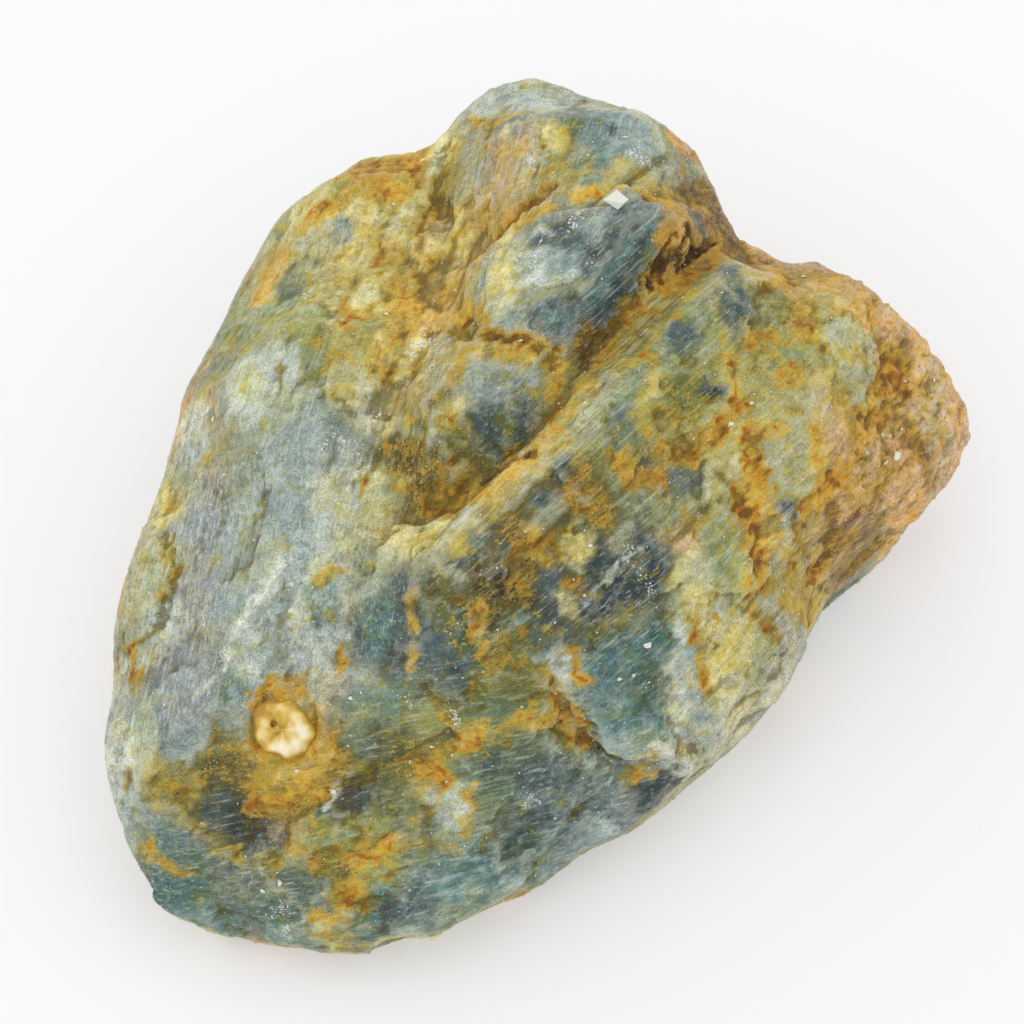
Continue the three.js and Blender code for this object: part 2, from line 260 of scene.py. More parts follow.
on_block = np.zeros(len(points))
for middle, reach in SHARPER:
    far = np.linalg.norm(points[:, :2] - middle, axis=1)
    on_block = np.maximum(on_block, 1 - ramp(far, reach - 1, reach + 1))
on_block *= ramp(points[:, 2], 8, 14)  # only their upper parts
silted = ramp(aside, -2.6, -1.6) * ramp(-aside, -SILT_REACH - 2, -SILT_REACH - 1)
silted *= ramp(along, -4, -2) * ramp(-along, -18, -16.5)
on_block *= 1 - silted
ease = np.where(on_foot, 0, 0.5 - 0.42 * on_block)[:, None]
for _ in range(SMOOTH_PASSES):
    points = points + ease * (neighbour_mean(points) - points)
normals = write_points(skin, points)
print("smoothed", len(points), "corners")

# %% [markdown]
# ## Which way the fibres run
#
# The stone is made of blades and fibres, and they run in three ways: steeply along the left flank and
# the lobe, slantwise through the ridge and the right half, and nearly level across the front. Each
# corner gets a share of each direction, and the shares blend between the regions.

# %% Share the three directions out
FIBRE_ANGLES = {"steep": 76, "slant": 45, "level": 14}  # degrees from +X, seen from above
FIBRE_PLACES = {  # middles and reaches in plan, in millimetres
    "steep": [(-24, -4, 16), (-14, 12, 12), (-4, 25, 8)],
    "slant": [(3, 2, 9), (14, 2, 13), (5, -12, 9), (24, 6, 10), (-5, -12, 5)],
    "level": [(-20, -31, 9), (-4, -27, 8), (8, -24, 5)],
}

shares = {}
for way, places in FIBRE_PLACES.items():
    shares[way] = sum(
        np.exp(-((points[:, 0] - x) ** 2 + (points[:, 1] - y) ** 2) / reach**2)
        for x, y, reach in places
    ) + 0.02
whole = sum(shares.values())
shares = {way: ramp(share / whole, 0.25, 0.6) + 0.001 for way, share in shares.items()}
whole = sum(shares.values())
shares = {way: share / whole for way, share in shares.items()}
silky = shares["steep"]  # the left side is smooth and silky, the rest is blocky


def along_fibres(where, way, stretch):
    """Points turned so that the first axis follows the fibres, and squeezed along them."""
    angle = math.radians(FIBRE_ANGLES[way])
    ahead = np.array([math.cos(angle), math.sin(angle), 0.12])
    ahead /= np.linalg.norm(ahead)
    across = np.cross([0, 0, 1], ahead)
    across /= np.linalg.norm(across)
    up = np.cross(ahead, across)
    return np.stack([where @ ahead / stretch, where @ across, where @ up], 1)


# %% [markdown]
# ## Cleaving the surface
#
# A cleaved face is flat, so noise alone never looks like one. Instead the surface is divided into
# grains drawn out along the fibres, and each grain's corners are pressed towards the plane that fits
# them best, and then moved up or down by a small step. Three sizes of grain, one inside the other,
# leave crisp little cliffs between flat faces. The plan is shaken a little first, so that the grains
# have ragged edges.

# %% Press each grain flat
GRAINS = [  # (size across the fibres, stretch along them, how flat, step in mm)
    (5.2, 1.5, 0.7, 0.38),
    (2.3, 1.8, 0.65, 0.24),
    (1.0, 2.4, 0.5, 0.1),
]
MOST_PRESSED = 0.45  # no corner moves further than this, in mm

shaken = points + 0.22 * np.stack([noise(points, 1.5, s, 2) for s in (51, 52, 53)], 1)
way_number = np.argmax(np.stack(list(shares.values())), 0)
plain = 1 - 0.8 * np.maximum(on_block, silted)  # the blocks keep their own faces, and silt is even


def cleave(where, number, strength):
    """How far each corner moves when its grain is pressed towards the plane that fits it best."""
    _, own = np.unique(number, return_inverse=True)
    count = np.bincount(own)
    middle = np.stack([np.bincount(own, where[:, k]) for k in range(3)], 1) / count[:, None]
    away = where - middle[own]
    spread = [np.bincount(own, away[:, i] * away[:, j]) for i in range(3) for j in range(3)]
    axes = np.linalg.eigh(np.stack(spread, 1).reshape(-1, 3, 3))[1]
    plane = axes[own, :, 0]
    height = (away * plane).sum(1)
    return -np.clip(strength * height, -MOST_PRESSED, MOST_PRESSED)[:, None] * plane


depths, numbers = [], []
for order, (size, stretch, flat, step) in enumerate(GRAINS):
    depth, number = np.zeros(len(points)), np.zeros(len(points))
    for turn, way in enumerate(FIBRE_ANGLES):
        here = way_number == turn
        turned = along_fibres(shaken[here], way, stretch)
        depth[here], number[here] = grains(turned, size, 100 * (order + 1) + 10 * turn)
    strength = flat * (1 - 0.55 * silky) * plain * ~on_foot
    points = points + cleave(points, number, strength)
    points += (step * (number - 0.5) * (1 - 0.5 * silky) * plain * ~on_foot)[:, None] * normals
    depths.append(depth)
    numbers.append(number)
normals = write_points(skin, points)
seam = np.exp(-((depths[0] / 0.45) ** 2)) + 0.7 * np.exp(-((depths[1] / 0.3) ** 2))
print("cleaved into", [len(np.unique(n)) for n in numbers], "grains")

# %% [markdown]
# ## Strokes and outlines in plan
#
# Much of what makes this one stone lies in certain places: a fissure, a crystal, a stained hollow.
# Each is drawn over the stone as seen from above, as a stroke along a path or as a closed outline.
# The plan is bent by a little noise first, so that no stroke has a straight or even edge, and the
# strokes reach only what faces up, because a stroke in plan would smear down a steep wall.

# %% Distances in plan
facing = normals[:, 2]  # 1 where the stone faces up, 0 on a wall and below 0 under an overhang
for _ in range(5):
    facing = neighbour_mean(facing)
on_top = ramp(facing, -0.1, 0.15)
loose_plan = points[:, :2] + np.stack([0.8 * noise(points, 3.0, s, 3) for s in (11, 31)], 1)
tight_plan = points[:, :2] + np.stack([0.3 * noise(points, 1.4, s, 2) for s in (12, 32)], 1)
tight_plan += np.stack([0.25 * noise(points, 0.6, s) for s in (13, 34)], 1)  # edges fray
for way, share in shares.items():  # edges feather out along the fibres
    angle = math.radians(FIBRE_ANGLES[way])
    feather = share * noise(along_fibres(points, way, 6), 0.9, 33, 2)
    loose_plan += 1.1 * feather[:, None] * (math.cos(angle), math.sin(angle))
    tight_plan += 0.45 * feather[:, None] * (math.cos(angle), math.sin(angle))


def distance_to(path, where):
    """How far each row of where is from a path of (x, y) points."""
    path = [np.array(p, float) for p in path]
    best = np.linalg.norm(where - path[0], axis=1)
    for start, end in zip(path, path[1:]):
        run = end - start
        away = where - start
        along = np.clip(away @ run / (run @ run), 0, 1)
        best = np.minimum(best, np.linalg.norm(away - along[:, None] * run, axis=1))
    return best


def depth_inside(outline, where):
    """How deep each row of where lies inside a closed outline. It is below 0 outside."""
    closed = outline + outline[:1]
    inside = np.zeros(len(where), bool)
    for (ax, ay), (bx, by) in zip(closed, closed[1:]):
        spans = (ay > where[:, 1]) != (by > where[:, 1])
        crossing = ax + (where[:, 1] - ay) * (bx - ax) / (by - ay + 1e-9)
        inside ^= spans & (where[:, 0] < crossing)
    reach = distance_to(closed, where)
    return np.where(inside, reach, -reach)


def stroke_weight(path, width, where=loose_plan):
    """1 along the middle of a stroke, and a smooth fall to 0 at its edge."""
    return on_top * (1 - ramp(distance_to(path, where), 0.35 * width, 1.25 * width))


# %% [markdown]
# ## Crystals with faces of their own
#
# Some crystals are large enough to know by their outlines. Each is pressed flat and lifted or sunk a
# little, as the coarse grains were, and it keeps the name of a swatch that will colour it later.

# %% Outlines of the crystals
CRYSTALS = [  # (swatch, lift in mm, outline in plan)
    # the upper block
    ("ink", 0.03, [(5.6, 14), (9, 14.4), (8.2, 12.2), (7.5, 10.6), (5.6, 8.2), (4.2, 6), (2.3, 4),
                   (2.5, 6), (3, 8), (4.3, 9.6), (4.6, 11.6)]),
    ("slate", -0.1, [(-1.8, 13.2), (-0.4, 14.5), (3, 14.2), (3.6, 12.2), (2.6, 9.6), (0.8, 11.8),
                     (-1.5, 12.2)]),
    ("frost", 0.05, [(-3, 10.9), (-1.5, 11.8), (0.8, 11.2), (2.6, 9), (0.9, 8.2), (-2.4, 8.8)]),
    ("slate", -0.05, [(-2.6, 6.8), (-0.4, 7.4), (2.4, 7.4), (2.2, 4.8), (0.9, 3.4), (-2, 4.8)]),
    ("stone", 0.03, [(-2.8, 8.6), (0.6, 8), (2.6, 8.4), (2.5, 7.4), (-0.4, 7.4), (-2.8, 7)]),
    ("celadon", 0.03, [(-4.8, 9.4), (-3, 12.8), (-1.4, 11.4), (-1.8, 8.4), (-3.4, 6.4), (-4.8, 7.4)]),
    ("lavender", 0.03, [(-0.6, 14.8), (2, 15.8), (8.8, 15.4), (8.8, 14.6), (4.6, 14.5), (1, 14.4)]),
    # the lower block
    ("celadon", 0.03, [(-9.8, 8.4), (-7.8, 8.6), (-7, 4.6), (-7.8, 1.4), (-9.6, 0.4), (-10, 3)]),
    ("mist", 0.03, [(-6.6, 4), (-3.5, 4.4), (-0.6, 3.4), (-0.9, 0.9), (-6.2, 0.9)]),
    ("slate", 0.03, [(-6.4, 0.3), (-1.2, 0.6), (-0.8, -1.6), (-2.8, -3), (-5.4, -3.4), (-6.8, -1.6)]),
    ("moss", 0.0, [(-8.8, -0.4), (-6, -1), (-5, -3), (-1.2, -3.6), (-3, -4.8), (-7.6, -3.6)]),
    # the face right of the fissure
    ("slate", 0.05, [(13.2, 13.3), (15, 13.6), (15.4, 11), (16.6, 8.6), (14.6, 8.2), (13.2, 9.4),
                     (13.6, 11.4)]),
    ("slate", 0.03, [(9, 6.6), (11.2, 7.6), (11.4, 5.6), (10.8, 4.2), (8.8, 3.4)]),
    ("moss", 0.05, [(8.8, 2.6), (12.4, 3), (12.9, 1), (11.4, 0.4), (10.2, -0.6), (8.6, 0.4)]),
    ("slate", 0.05, [(4, -2.4), (5.2, -0.6), (7.4, -0.8), (8.9, -2.5), (7.6, -3.4), (6.4, -4.8),
                     (4.6, -4)]),
    ("slate", 0.05, [(10.1, -3.2), (12.2, -2.8), (12.2, -4.4), (10.6, -5.6), (8.6, -6), (8.8, -4.4)]),
    ("celadon", 0.1, [(12.6, -3), (13.6, -4), (15.2, -7.2), (13.8, -9.4), (12.2, -9), (12, -5.4)]),
    ("leaf", 0.03, [(14.6, 3.6), (17.6, 4.4), (18.8, 1.8), (15.4, 0.8)]),
    ("sage", 0.03, [(17.4, 8.8), (20.6, 9.2), (20.8, 5.6), (17.6, 5)]),
    ("celadon", 0.21, [(21.6, 9.4), (23.8, 10.8), (26.8, 9.8), (26.6, 5.2), (24.6, 4.4), (21.8, 6.4)]),
    ("celadon", 0.09, [(16.4, -0.6), (20.4, 1.4), (22.4, -1.4), (20.6, -4.4), (17.2, -4)]),
    ("sage", 0.14, [(11.4, -6.8), (13.6, -5.2), (15.8, -7.4), (16, -10), (13.6, -11), (11.2, -9.6)]),
    ("cream", 0.12, [(13.4, 0.8), (14.8, 0.6), (15.2, -0.8), (13.6, -1)]),
    ("bone", 0.12, [(13.6, -2.6), (14.8, -2.6), (14.8, -3.9), (13.4, -3.8)]),
    ("cream", 0.07, [(12.6, -11.6), (16.2, -11), (18.4, -12.6), (16, -15), (12.6, -14)]),
    ("mist", 0.03, [(9.8, -13.6), (12, -14.6), (12.2, -20.4), (9.6, -20.8), (9.2, -17)]),
    ("bone", 0.07, [(19.4, -6.4), (21.6, -6), (21, -11), (19, -14), (18, -11)]),
    ("rose", 0.17, [(29.6, 8), (31.6, 7.8), (31.8, 6), (30.2, 5.2), (29, 6.4)]),
    # the blade and the ledge
    ("ink", 0.05, [(2.8, -10.6), (5.6, -8.6), (8.6, -9.6), (8.8, -12.4), (5.8, -14.6), (2, -15.8),
                   (1.4, -14)]),
    ("slate", 0.03, [(-1.2, -12.6), (1, -12), (1.6, -14.6), (0.4, -16.6), (-2, -15.4)]),
    ("teal", 0.07, [(1.6, -19.6), (3.6, -16.2), (8.8, -14.2), (9.4, -17), (8.8, -21), (5, -22.4),
                    (2.8, -21.4)]),
    ("frost", 0.1, [(-1.8, -17.8), (1.6, -15.8), (3, -16.6), (1.6, -19.8)]),
    ("cream", 0.17, [(0.5, -10.2), (1.6, -9.3), (3.4, -10.8), (2.2, -12.2), (0.7, -11.6)]),
    ("ink", -0.1, [(5, -23.6), (8, -23), (11.6, -21.8), (13, -22), (12, -25), (6, -29), (4.4, -26)]),
    ("teal", -0.05, [(-4, -28), (-0.6, -26.4), (0.6, -27.4), (-1, -30), (-3.4, -31)]),
    # the middle
    ("slate", 0.14, [(-9.2, -15.6), (-6.4, -15.2), (-5.4, -17.6), (-6.4, -20.6), (-8.8, -20.6),
                     (-9.6, -18)]),
    ("teal", 0.03, [(-15, -13.8), (-12.6, -13), (-11.6, -15.6), (-12.4, -18.4), (-14.4, -18.6),
                    (-14, -16)]),
    ("frost", 0.07, [(-20.4, -12.8), (-15, -13.2), (-14.8, -17), (-17.4, -19.4), (-20.6, -16.6)]),
    ("teal", 0.14, [(-15.6, -19.8), (-11.6, -20), (-10.6, -23.4), (-13.4, -24.6), (-15.6, -23)]),
    ("slate", -0.1, [(-7, -11.4), (-4.8, -10.2), (-3.2, -11.6), (-3.8, -14), (-6.4, -14)]),
    ("frost", 0.07, [(-9.8, -25.8), (-6.6, -25.4), (-5.8, -28), (-8.8, -29)]),
    # the left flank and the front
    ("celadon", 0.17, [(-33, -6.4), (-30.4, -4.4), (-29, -7.8), (-30.8, -12.6), (-33, -13.6)]),
    ("mist", 0.12, [(-29, -20.8), (-26.8, -20.2), (-25.6, -22), (-27, -24), (-29.2, -23)]),
    ("slate", -0.35, [(-28.6, -25.4), (-24.6, -25.2), (-21.8, -27.8), (-23.6, -29.4), (-27, -28.4)]),
    ("teal", 0.03, [(-25.4, -15.6), (-22.4, -15), (-22, -19.6), (-25, -20.6)]),
    ("teal", 0.03, [(-31.6, -27.8), (-27.4, -29.6), (-25.6, -33.4), (-30, -33)]),
    ("stone", 0.07, [(-21.6, -30.4), (-17.2, -30.2), (-18.6, -33)]),
    # the upper left and the lobe
    ("cream", 0.19, [(-13.6, 18.2), (-12.6, 21.2), (-11.4, 22.6), (-10.2, 20.6), (-10.8, 17.4),
                     (-12.4, 16.8)]),
    ("cream", 0.16, [(-15.8, 11.8), (-14.9, 16.4), (-13.4, 16), (-13.4, 12.6), (-14.6, 11.2)]),
    ("milk", 0.16, [(-9.9, 18.6), (-8.6, 19), (-7.7, 17.7), (-9, 16.7), (-10, 17.4)]),
    ("leaf", 0.05, [(-17.4, 3.4), (-15.8, 10), (-13.6, 9.6), (-13.8, 3)]),
    ("sage", 0.05, [(-20.6, 11.4), (-18, 12.6), (-17.4, 5.4), (-20.6, 3.4)]),
    ("rose", 0.07, [(-5.8, 19.4), (-5.4, 25), (-3, 27), (-0.6, 25.4), (-0.4, 22.6), (-2, 19)]),
    ("celadon", 0.07, [(-9, 24.6), (-7.2, 30.2), (-4.8, 29), (-4.8, 22.4), (-7.2, 20.6)]),
    ("cream", 0.07, [(-1.4, 26.4), (0.8, 26), (1.8, 23.4), (0.4, 20.6), (-0.6, 21.6), (-0.2, 23.6)]),
]

# %% Press the crystals flat
EDGE = 0.5  # a crystal's edge falls away over this many millimetres
FLATNESS = 0.85
MOST_MOVED = 0.9


def press(weight, face, lift, flatness, most):
    """Moves corners, by weight, towards the plane that fits a face and lies lift above it."""
    middle = face.mean(0)
    plane = np.linalg.eigh(np.cov((face - middle).T))[1][:, 0]
    plane *= np.sign(plane[2])
    height = (points - middle) @ plane
    move = np.clip(weight * (lift - flatness * height), -most, most)
    return points + move[:, None] * plane


crystal_weights = []
rims = np.zeros(len(points))
for swatch, lift, outline in CRYSTALS:
    depth = depth_inside(outline, tight_plan)
    weight = ramp(facing, 0.15, 0.45) * ramp(depth, -0.5 * EDGE, 0.5 * EDGE)
    points = press(weight, points[weight > 0.5], lift, FLATNESS, MOST_MOVED)
    crystal_weights.append(on_top * ramp(depth, -0.5, 0.5))
    rims = np.maximum(rims, on_top * np.exp(-((depth / 0.35) ** 2)))
print("pressed", len(CRYSTALS), "crystals flat")

# %% Press a seat for the nodule
NODULE = (-20.2, -21.9)
SEAT = 2.8  # the seat's radius; its plane is fitted to a band 1.2 mm wide just outside it
far = np.linalg.norm(points[:, :2] - NODULE, axis=1)
around = points[(far > SEAT) & (far < SEAT + 1.2) & (on_top > 0.5)]
points = press(on_top * (1 - ramp(far, SEAT - 0.4, SEAT + 0.4)), around, -0.1, 1.0, 3.0)
normals = write_points(skin, points)

# %% [markdown]
# ## Cuts, lips and grain
#
# Cut strokes sink the fissure and the seams, and raised strokes lift the lips beside them. The right
# end is a granular, earthy rock, so it gets a coarser bumpiness, and the left side gets long ridges.

# %% Cuts and raised strokes
CUTS = [  # (depth, width, path), all in millimetres
    (0.4, 0.35, [(13.6, 17.2), (11.4, 14.9), (9.6, 12.5), (8, 10.7), (7.1, 9.4)]),
    (0.2, 0.4, [(7.1, 9.4), (5.1, 6.5), (3.6, 4.7), (2.6, 3.2)]),
    (0.5, 0.5, [(-4.8, -4.8), (-3, -5.2), (-1.2, -4.9)]),
    (0.25, 0.6, [(14.5, -4.6), (15.8, -6), (16.4, -8.2)]),
    (0.15, 0.5, [(14.2, 4.2), (14.6, 0.6), (13, -1), (10, -2.6), (7, -4.2), (5, -5.6)]),
    (0.35, 0.6, [(0.4, -20), (2, -20.6), (3.4, -22)]),
    (0.2, 0.8, [(22.6, -3), (22.4, -4.6)]),
    (0.2, 0.5, [(27, 10), (25.4, 4.6), (25, 1), (21, -2.6), (19.6, -5)]),
    (0.5, 0.6, [(-4.4, 15.6), (-2, 17.4), (0.4, 18.6)]),
    (0.4, 0.5, [(-8, 20), (-9.2, 24), (-8.6, 28.6)]),
    (0.4, 0.5, [(-6, 7.4), (-6.4, 5.6), (-2.4, 4.6), (0.4, 3)]),
    (0.3, 0.7, [(-13.6, -24.6), (-15.4, -26.6), (-14.6, -28.6)]),
    (0.15, 0.5, [(24.4, 1), (27, -0.8)]),
    (0.3, 0.5, [(-30.4, -4.8), (-29, -8), (-30.4, -12.6)]),
]
RISES = [  # (height, width, path)
    (0.12, 0.5, [(-31, -25.5), (-28, -27), (-25, -29), (-22, -30), (-15, -30)]),
    (0.1, 0.4, [(-22, -30.5), (-18.6, -33.4)]),
    (0.1, 0.4, [(-16.6, -30.6), (-18, -34)]),
    (0.3, 0.5, [(8, -21.6), (10.4, -22), (12.4, -22)]),
]

relief = np.zeros(len(points))
for depth, width, path in CUTS:
    relief -= depth * stroke_weight(path, width, tight_plan)
for height, width, path in RISES:
    relief += height * stroke_weight(path, width, tight_plan)

# %% Fine grain of the surface
earthy = ramp(points[:, 0] + 0.35 * points[:, 1] + 1.5 * noise(points, 5, 91, 2), 25.5, 28.5)
for way, share in shares.items():
    ridges = noise(along_fibres(points, way, 8), 0.8, 300, 2)
    relief += (0.035 + 0.03 * silky) * share * ridges * plain
relief += 0.16 * earthy * noise(points, 1.3, 93, 2)
relief += 0.03 * noise(points, 0.7, 95)

above_foot = ramp(points[:, 2], 0.2, 2.0)
points = points + normals * (relief * above_foot * ~on_foot)[:, None]
points[:, 2] = np.maximum(points[:, 2], 0)
normals = write_points(skin, points)
print("the relief spans", round(relief.min(), 2), "to", round(relief.max(), 2), "mm")

# %% [markdown]
# ## Where stains collect
#
# Iron-stained water leaves its ochre in hollows and seams, and wear keeps the edges clean. How far a
# corner lies below the mean of the corners around it tells hollows from edges, at two scales.

# %% Measure hollows and edges
def hollowness(passes):
    """Above 0 in hollows and below 0 on edges, from how far the surface lies under its mean."""
    mean = points
    for _ in range(passes):
        mean = neighbour_mean(mean)
    return ((mean - points) * normals).sum(1)


fine_hollow = hollowness(3)
broad_hollow = hollowness(32)
print("one corner in a hundred lies", round(np.percentile(broad_hollow, 99), 2), "mm deep or more")

# %% [markdown]
# ## Painting the minerals
#
# A swatch names the look of one mineral or stain: its own colour, and how far it is stained with
# iron, silky with fibres, earthy, or dusted with bright cleavage flakes. The swatches go on as a
# painter lays them, from broad fields through the crystals to thin veins and small spots.

# %% Colours and swatches
def linear(code):
    """An sRGB hex colour as linear red, green, blue and alpha."""
    parts = [int(code[i:i + 2], 16) / 255 for i in (1, 3, 5)]
    return [p / 12.92 if p <= 0.04045 else ((p + 0.055) / 1.055) ** 2.4 for p in parts] + [1.0]


SWATCHES = {
    # clear to milky fluorite, from dark and thick to pale and cloudy
    "ink": dict(colour="#2d3f43", stain=0.03),
    "slate": dict(colour="#46585a", stain=0.08),
    "stone": dict(colour="#6e7969", stain=0.22),
    "teal": dict(colour="#5a7a78", stain=0.08),
    "mist": dict(colour="#98a5a1", stain=0.08),
    "lavender": dict(colour="#949a9c", stain=0, silk=1),
    "frost": dict(colour="#bcc5bd", stain=0.06),
    "silver": dict(colour="#adab88", stain=0.3, silk=1.4),
    "milk": dict(colour="#d4d6cc", stain=0.04),
    # green and yellow fluorite
    "sage": dict(colour="#949c76", stain=0.3),
    "celadon": dict(colour="#abad90", stain=0.2),
    "primrose": dict(colour="#cfc793", stain=0.32),
    "leaf": dict(colour="#b6ab68", stain=0.42),
    "field": dict(colour="#aca874", stain=0.37),
    "moss": dict(colour="#777b46", stain=0.38),
    "fern": dict(colour="#565731", stain=0.3),
    "bottle": dict(colour="#3f6058", stain=0.05),
    "olive": dict(colour="#63541a", stain=0.54),
    "peat": dict(colour="#41340c", stain=0.44),
    # crusts and sands
    "cream": dict(colour="#d8d09a", stain=0.2),
    "bone": dict(colour="#c2bfa8", stain=0.12),
    "sand": dict(colour="#d0b078", stain=0.47),
    "rose": dict(colour="#c2ac90", stain=0.3),
    "clay": dict(colour="#d0a678", stain=0.36, earth=1),
    "honey": dict(colour="#7d5e2c", stain=0.4),
    "umber": dict(colour="#744c22", stain=0.5, earth=1),
    # stains, flakes with painted glints, and painted shade for crevices, which leave the colour under them
    "glaze": dict(stain=0.5),
    "mustard": dict(colour="#d0b468", stain=0.66),
    "ochre": dict(colour="#c4984a", stain=0.8),
    "rust": dict(stain=0.92),
    # painted shade for the floors of crevices; it has no colour of its own
    "soot": dict(soot=1),
    # white flakes strewn as mesh, and painted glints in the shader
    "flakes_and_glints": dict(glitter=1),
}
START = dict(stain=0.31, silk=0.6, earth=0, soot=0, glitter=0.1)

# %% Broad fields
FIELDS = [  # (swatch, width in millimetres, path in plan)
    ("primrose", 9, [(-16, 24), (-15, 6)]),
    ("mustard", 3.4, [(-15, 25.4), (-11, 26.4)]),
    ("sage", 6, [(-23, 14), (-21, 2)]),
    ("mist", 5, [(-20, 1), (-18, -6)]),
    ("mist", 6, [(-23, -4), (-24, -20)]),
    ("mist", 3, [(-22.4, -8), (-22.6, -13)]),
    ("celadon", 3.5, [(-29, 2), (-31, -8), (-31.6, -13)]),
    ("rose", 1.8, [(-29.2, 9), (-30.4, 4)]),
    ("lavender", 3.0, [(-27.6, -4), (-27.8, -12), (-28.4, -20)]),
    ("frost", 2.4, [(-33.4, -16), (-33.4, -27)]),
    ("celadon", 1.2, [(-31.2, -17), (-31, -26)]),
    ("sand", 3.6, [(-7.4, 27), (-6.5, 18), (-9, 11), (-11, 4)]),
    ("mist", 3.6, [(-15.5, -2), (-18.6, -10)]),
    ("cream", 4, [(-14, -6), (-8, -11)]),
    # dark peat under the lower block's corner: the stone's dark colour, with painted shade of the hollow
    # there
    ("peat", 2.2, [(-11.4, -2.4), (-9.4, -4.4)]),
    ("olive", 3, [(-9, -6), (-4, -7)]),
    ("frost", 4, [(-18, -12), (-17, -18)]),
    ("slate", 4.4, [(-13, -16), (-8, -18)]),
    ("olive", 3, [(-3.6, -10), (-1, -14)]),
    ("sage", 3, [(-5, -20), (-9, -22.6), (-13, -23)]),
    ("moss", 3.6, [(-4, -17), (-3, -22)]),
    ("olive", 3.6, [(-25, -25), (-17, -25)]),
    ("moss", 4, [(-12, -26), (-6, -25)]),
    ("teal", 4.4, [(-3, -25), (3, -25), (8, -24.4)]),
    ("sage", 4, [(-14, -30), (-6, -30)]),
    ("teal", 4.4, [(-29, -30.6), (-20, -32)]),
    ("mist", 3, [(-10, -33), (-1, -29.4), (7, -25.6)]),
    ("frost", 3.4, [(-4, 31.6), (6, 28.6)]),
    ("teal", 3.2, [(2.4, 26.6), (5.4, 23), (4, 19.6)]),
    ("mist", 2.4, [(6.6, 24.4), (9, 21)]),
    ("leaf", 2.6, [(2, 19), (9, 18)]),
    ("umber", 2.2, [(13, 21), (15.4, 16.6)]),
    ("mist", 5, [(2, 10), (5, 11)]),
    ("sage", 7, [(14, 9), (8, 0), (4, -5)]),
    ("field", 5, [(18, 8), (16, -2)]),
    ("leaf", 4, [(22, 10), (23, 0)]),
    ("celadon", 5, [(20, 0), (17, -10)]),
    ("sand", 2.4, [(18, 13.4), (25, 13)]),
    ("clay", 6.5, [(30.5, 9), (30, 2), (25, -1)]),
    ("stone", 4.5, [(3, -9), (7, -12)]),
    ("teal", 4, [(5, -18), (6, -21)]),
    ("mist", 3, [(1, -22), (9, -22)]),
    ("cream", 4.4, [(14, -12), (13, -18)]),
    ("bone", 2.2, [(19.6, -8), (18, -15), (14, -20)]),
]
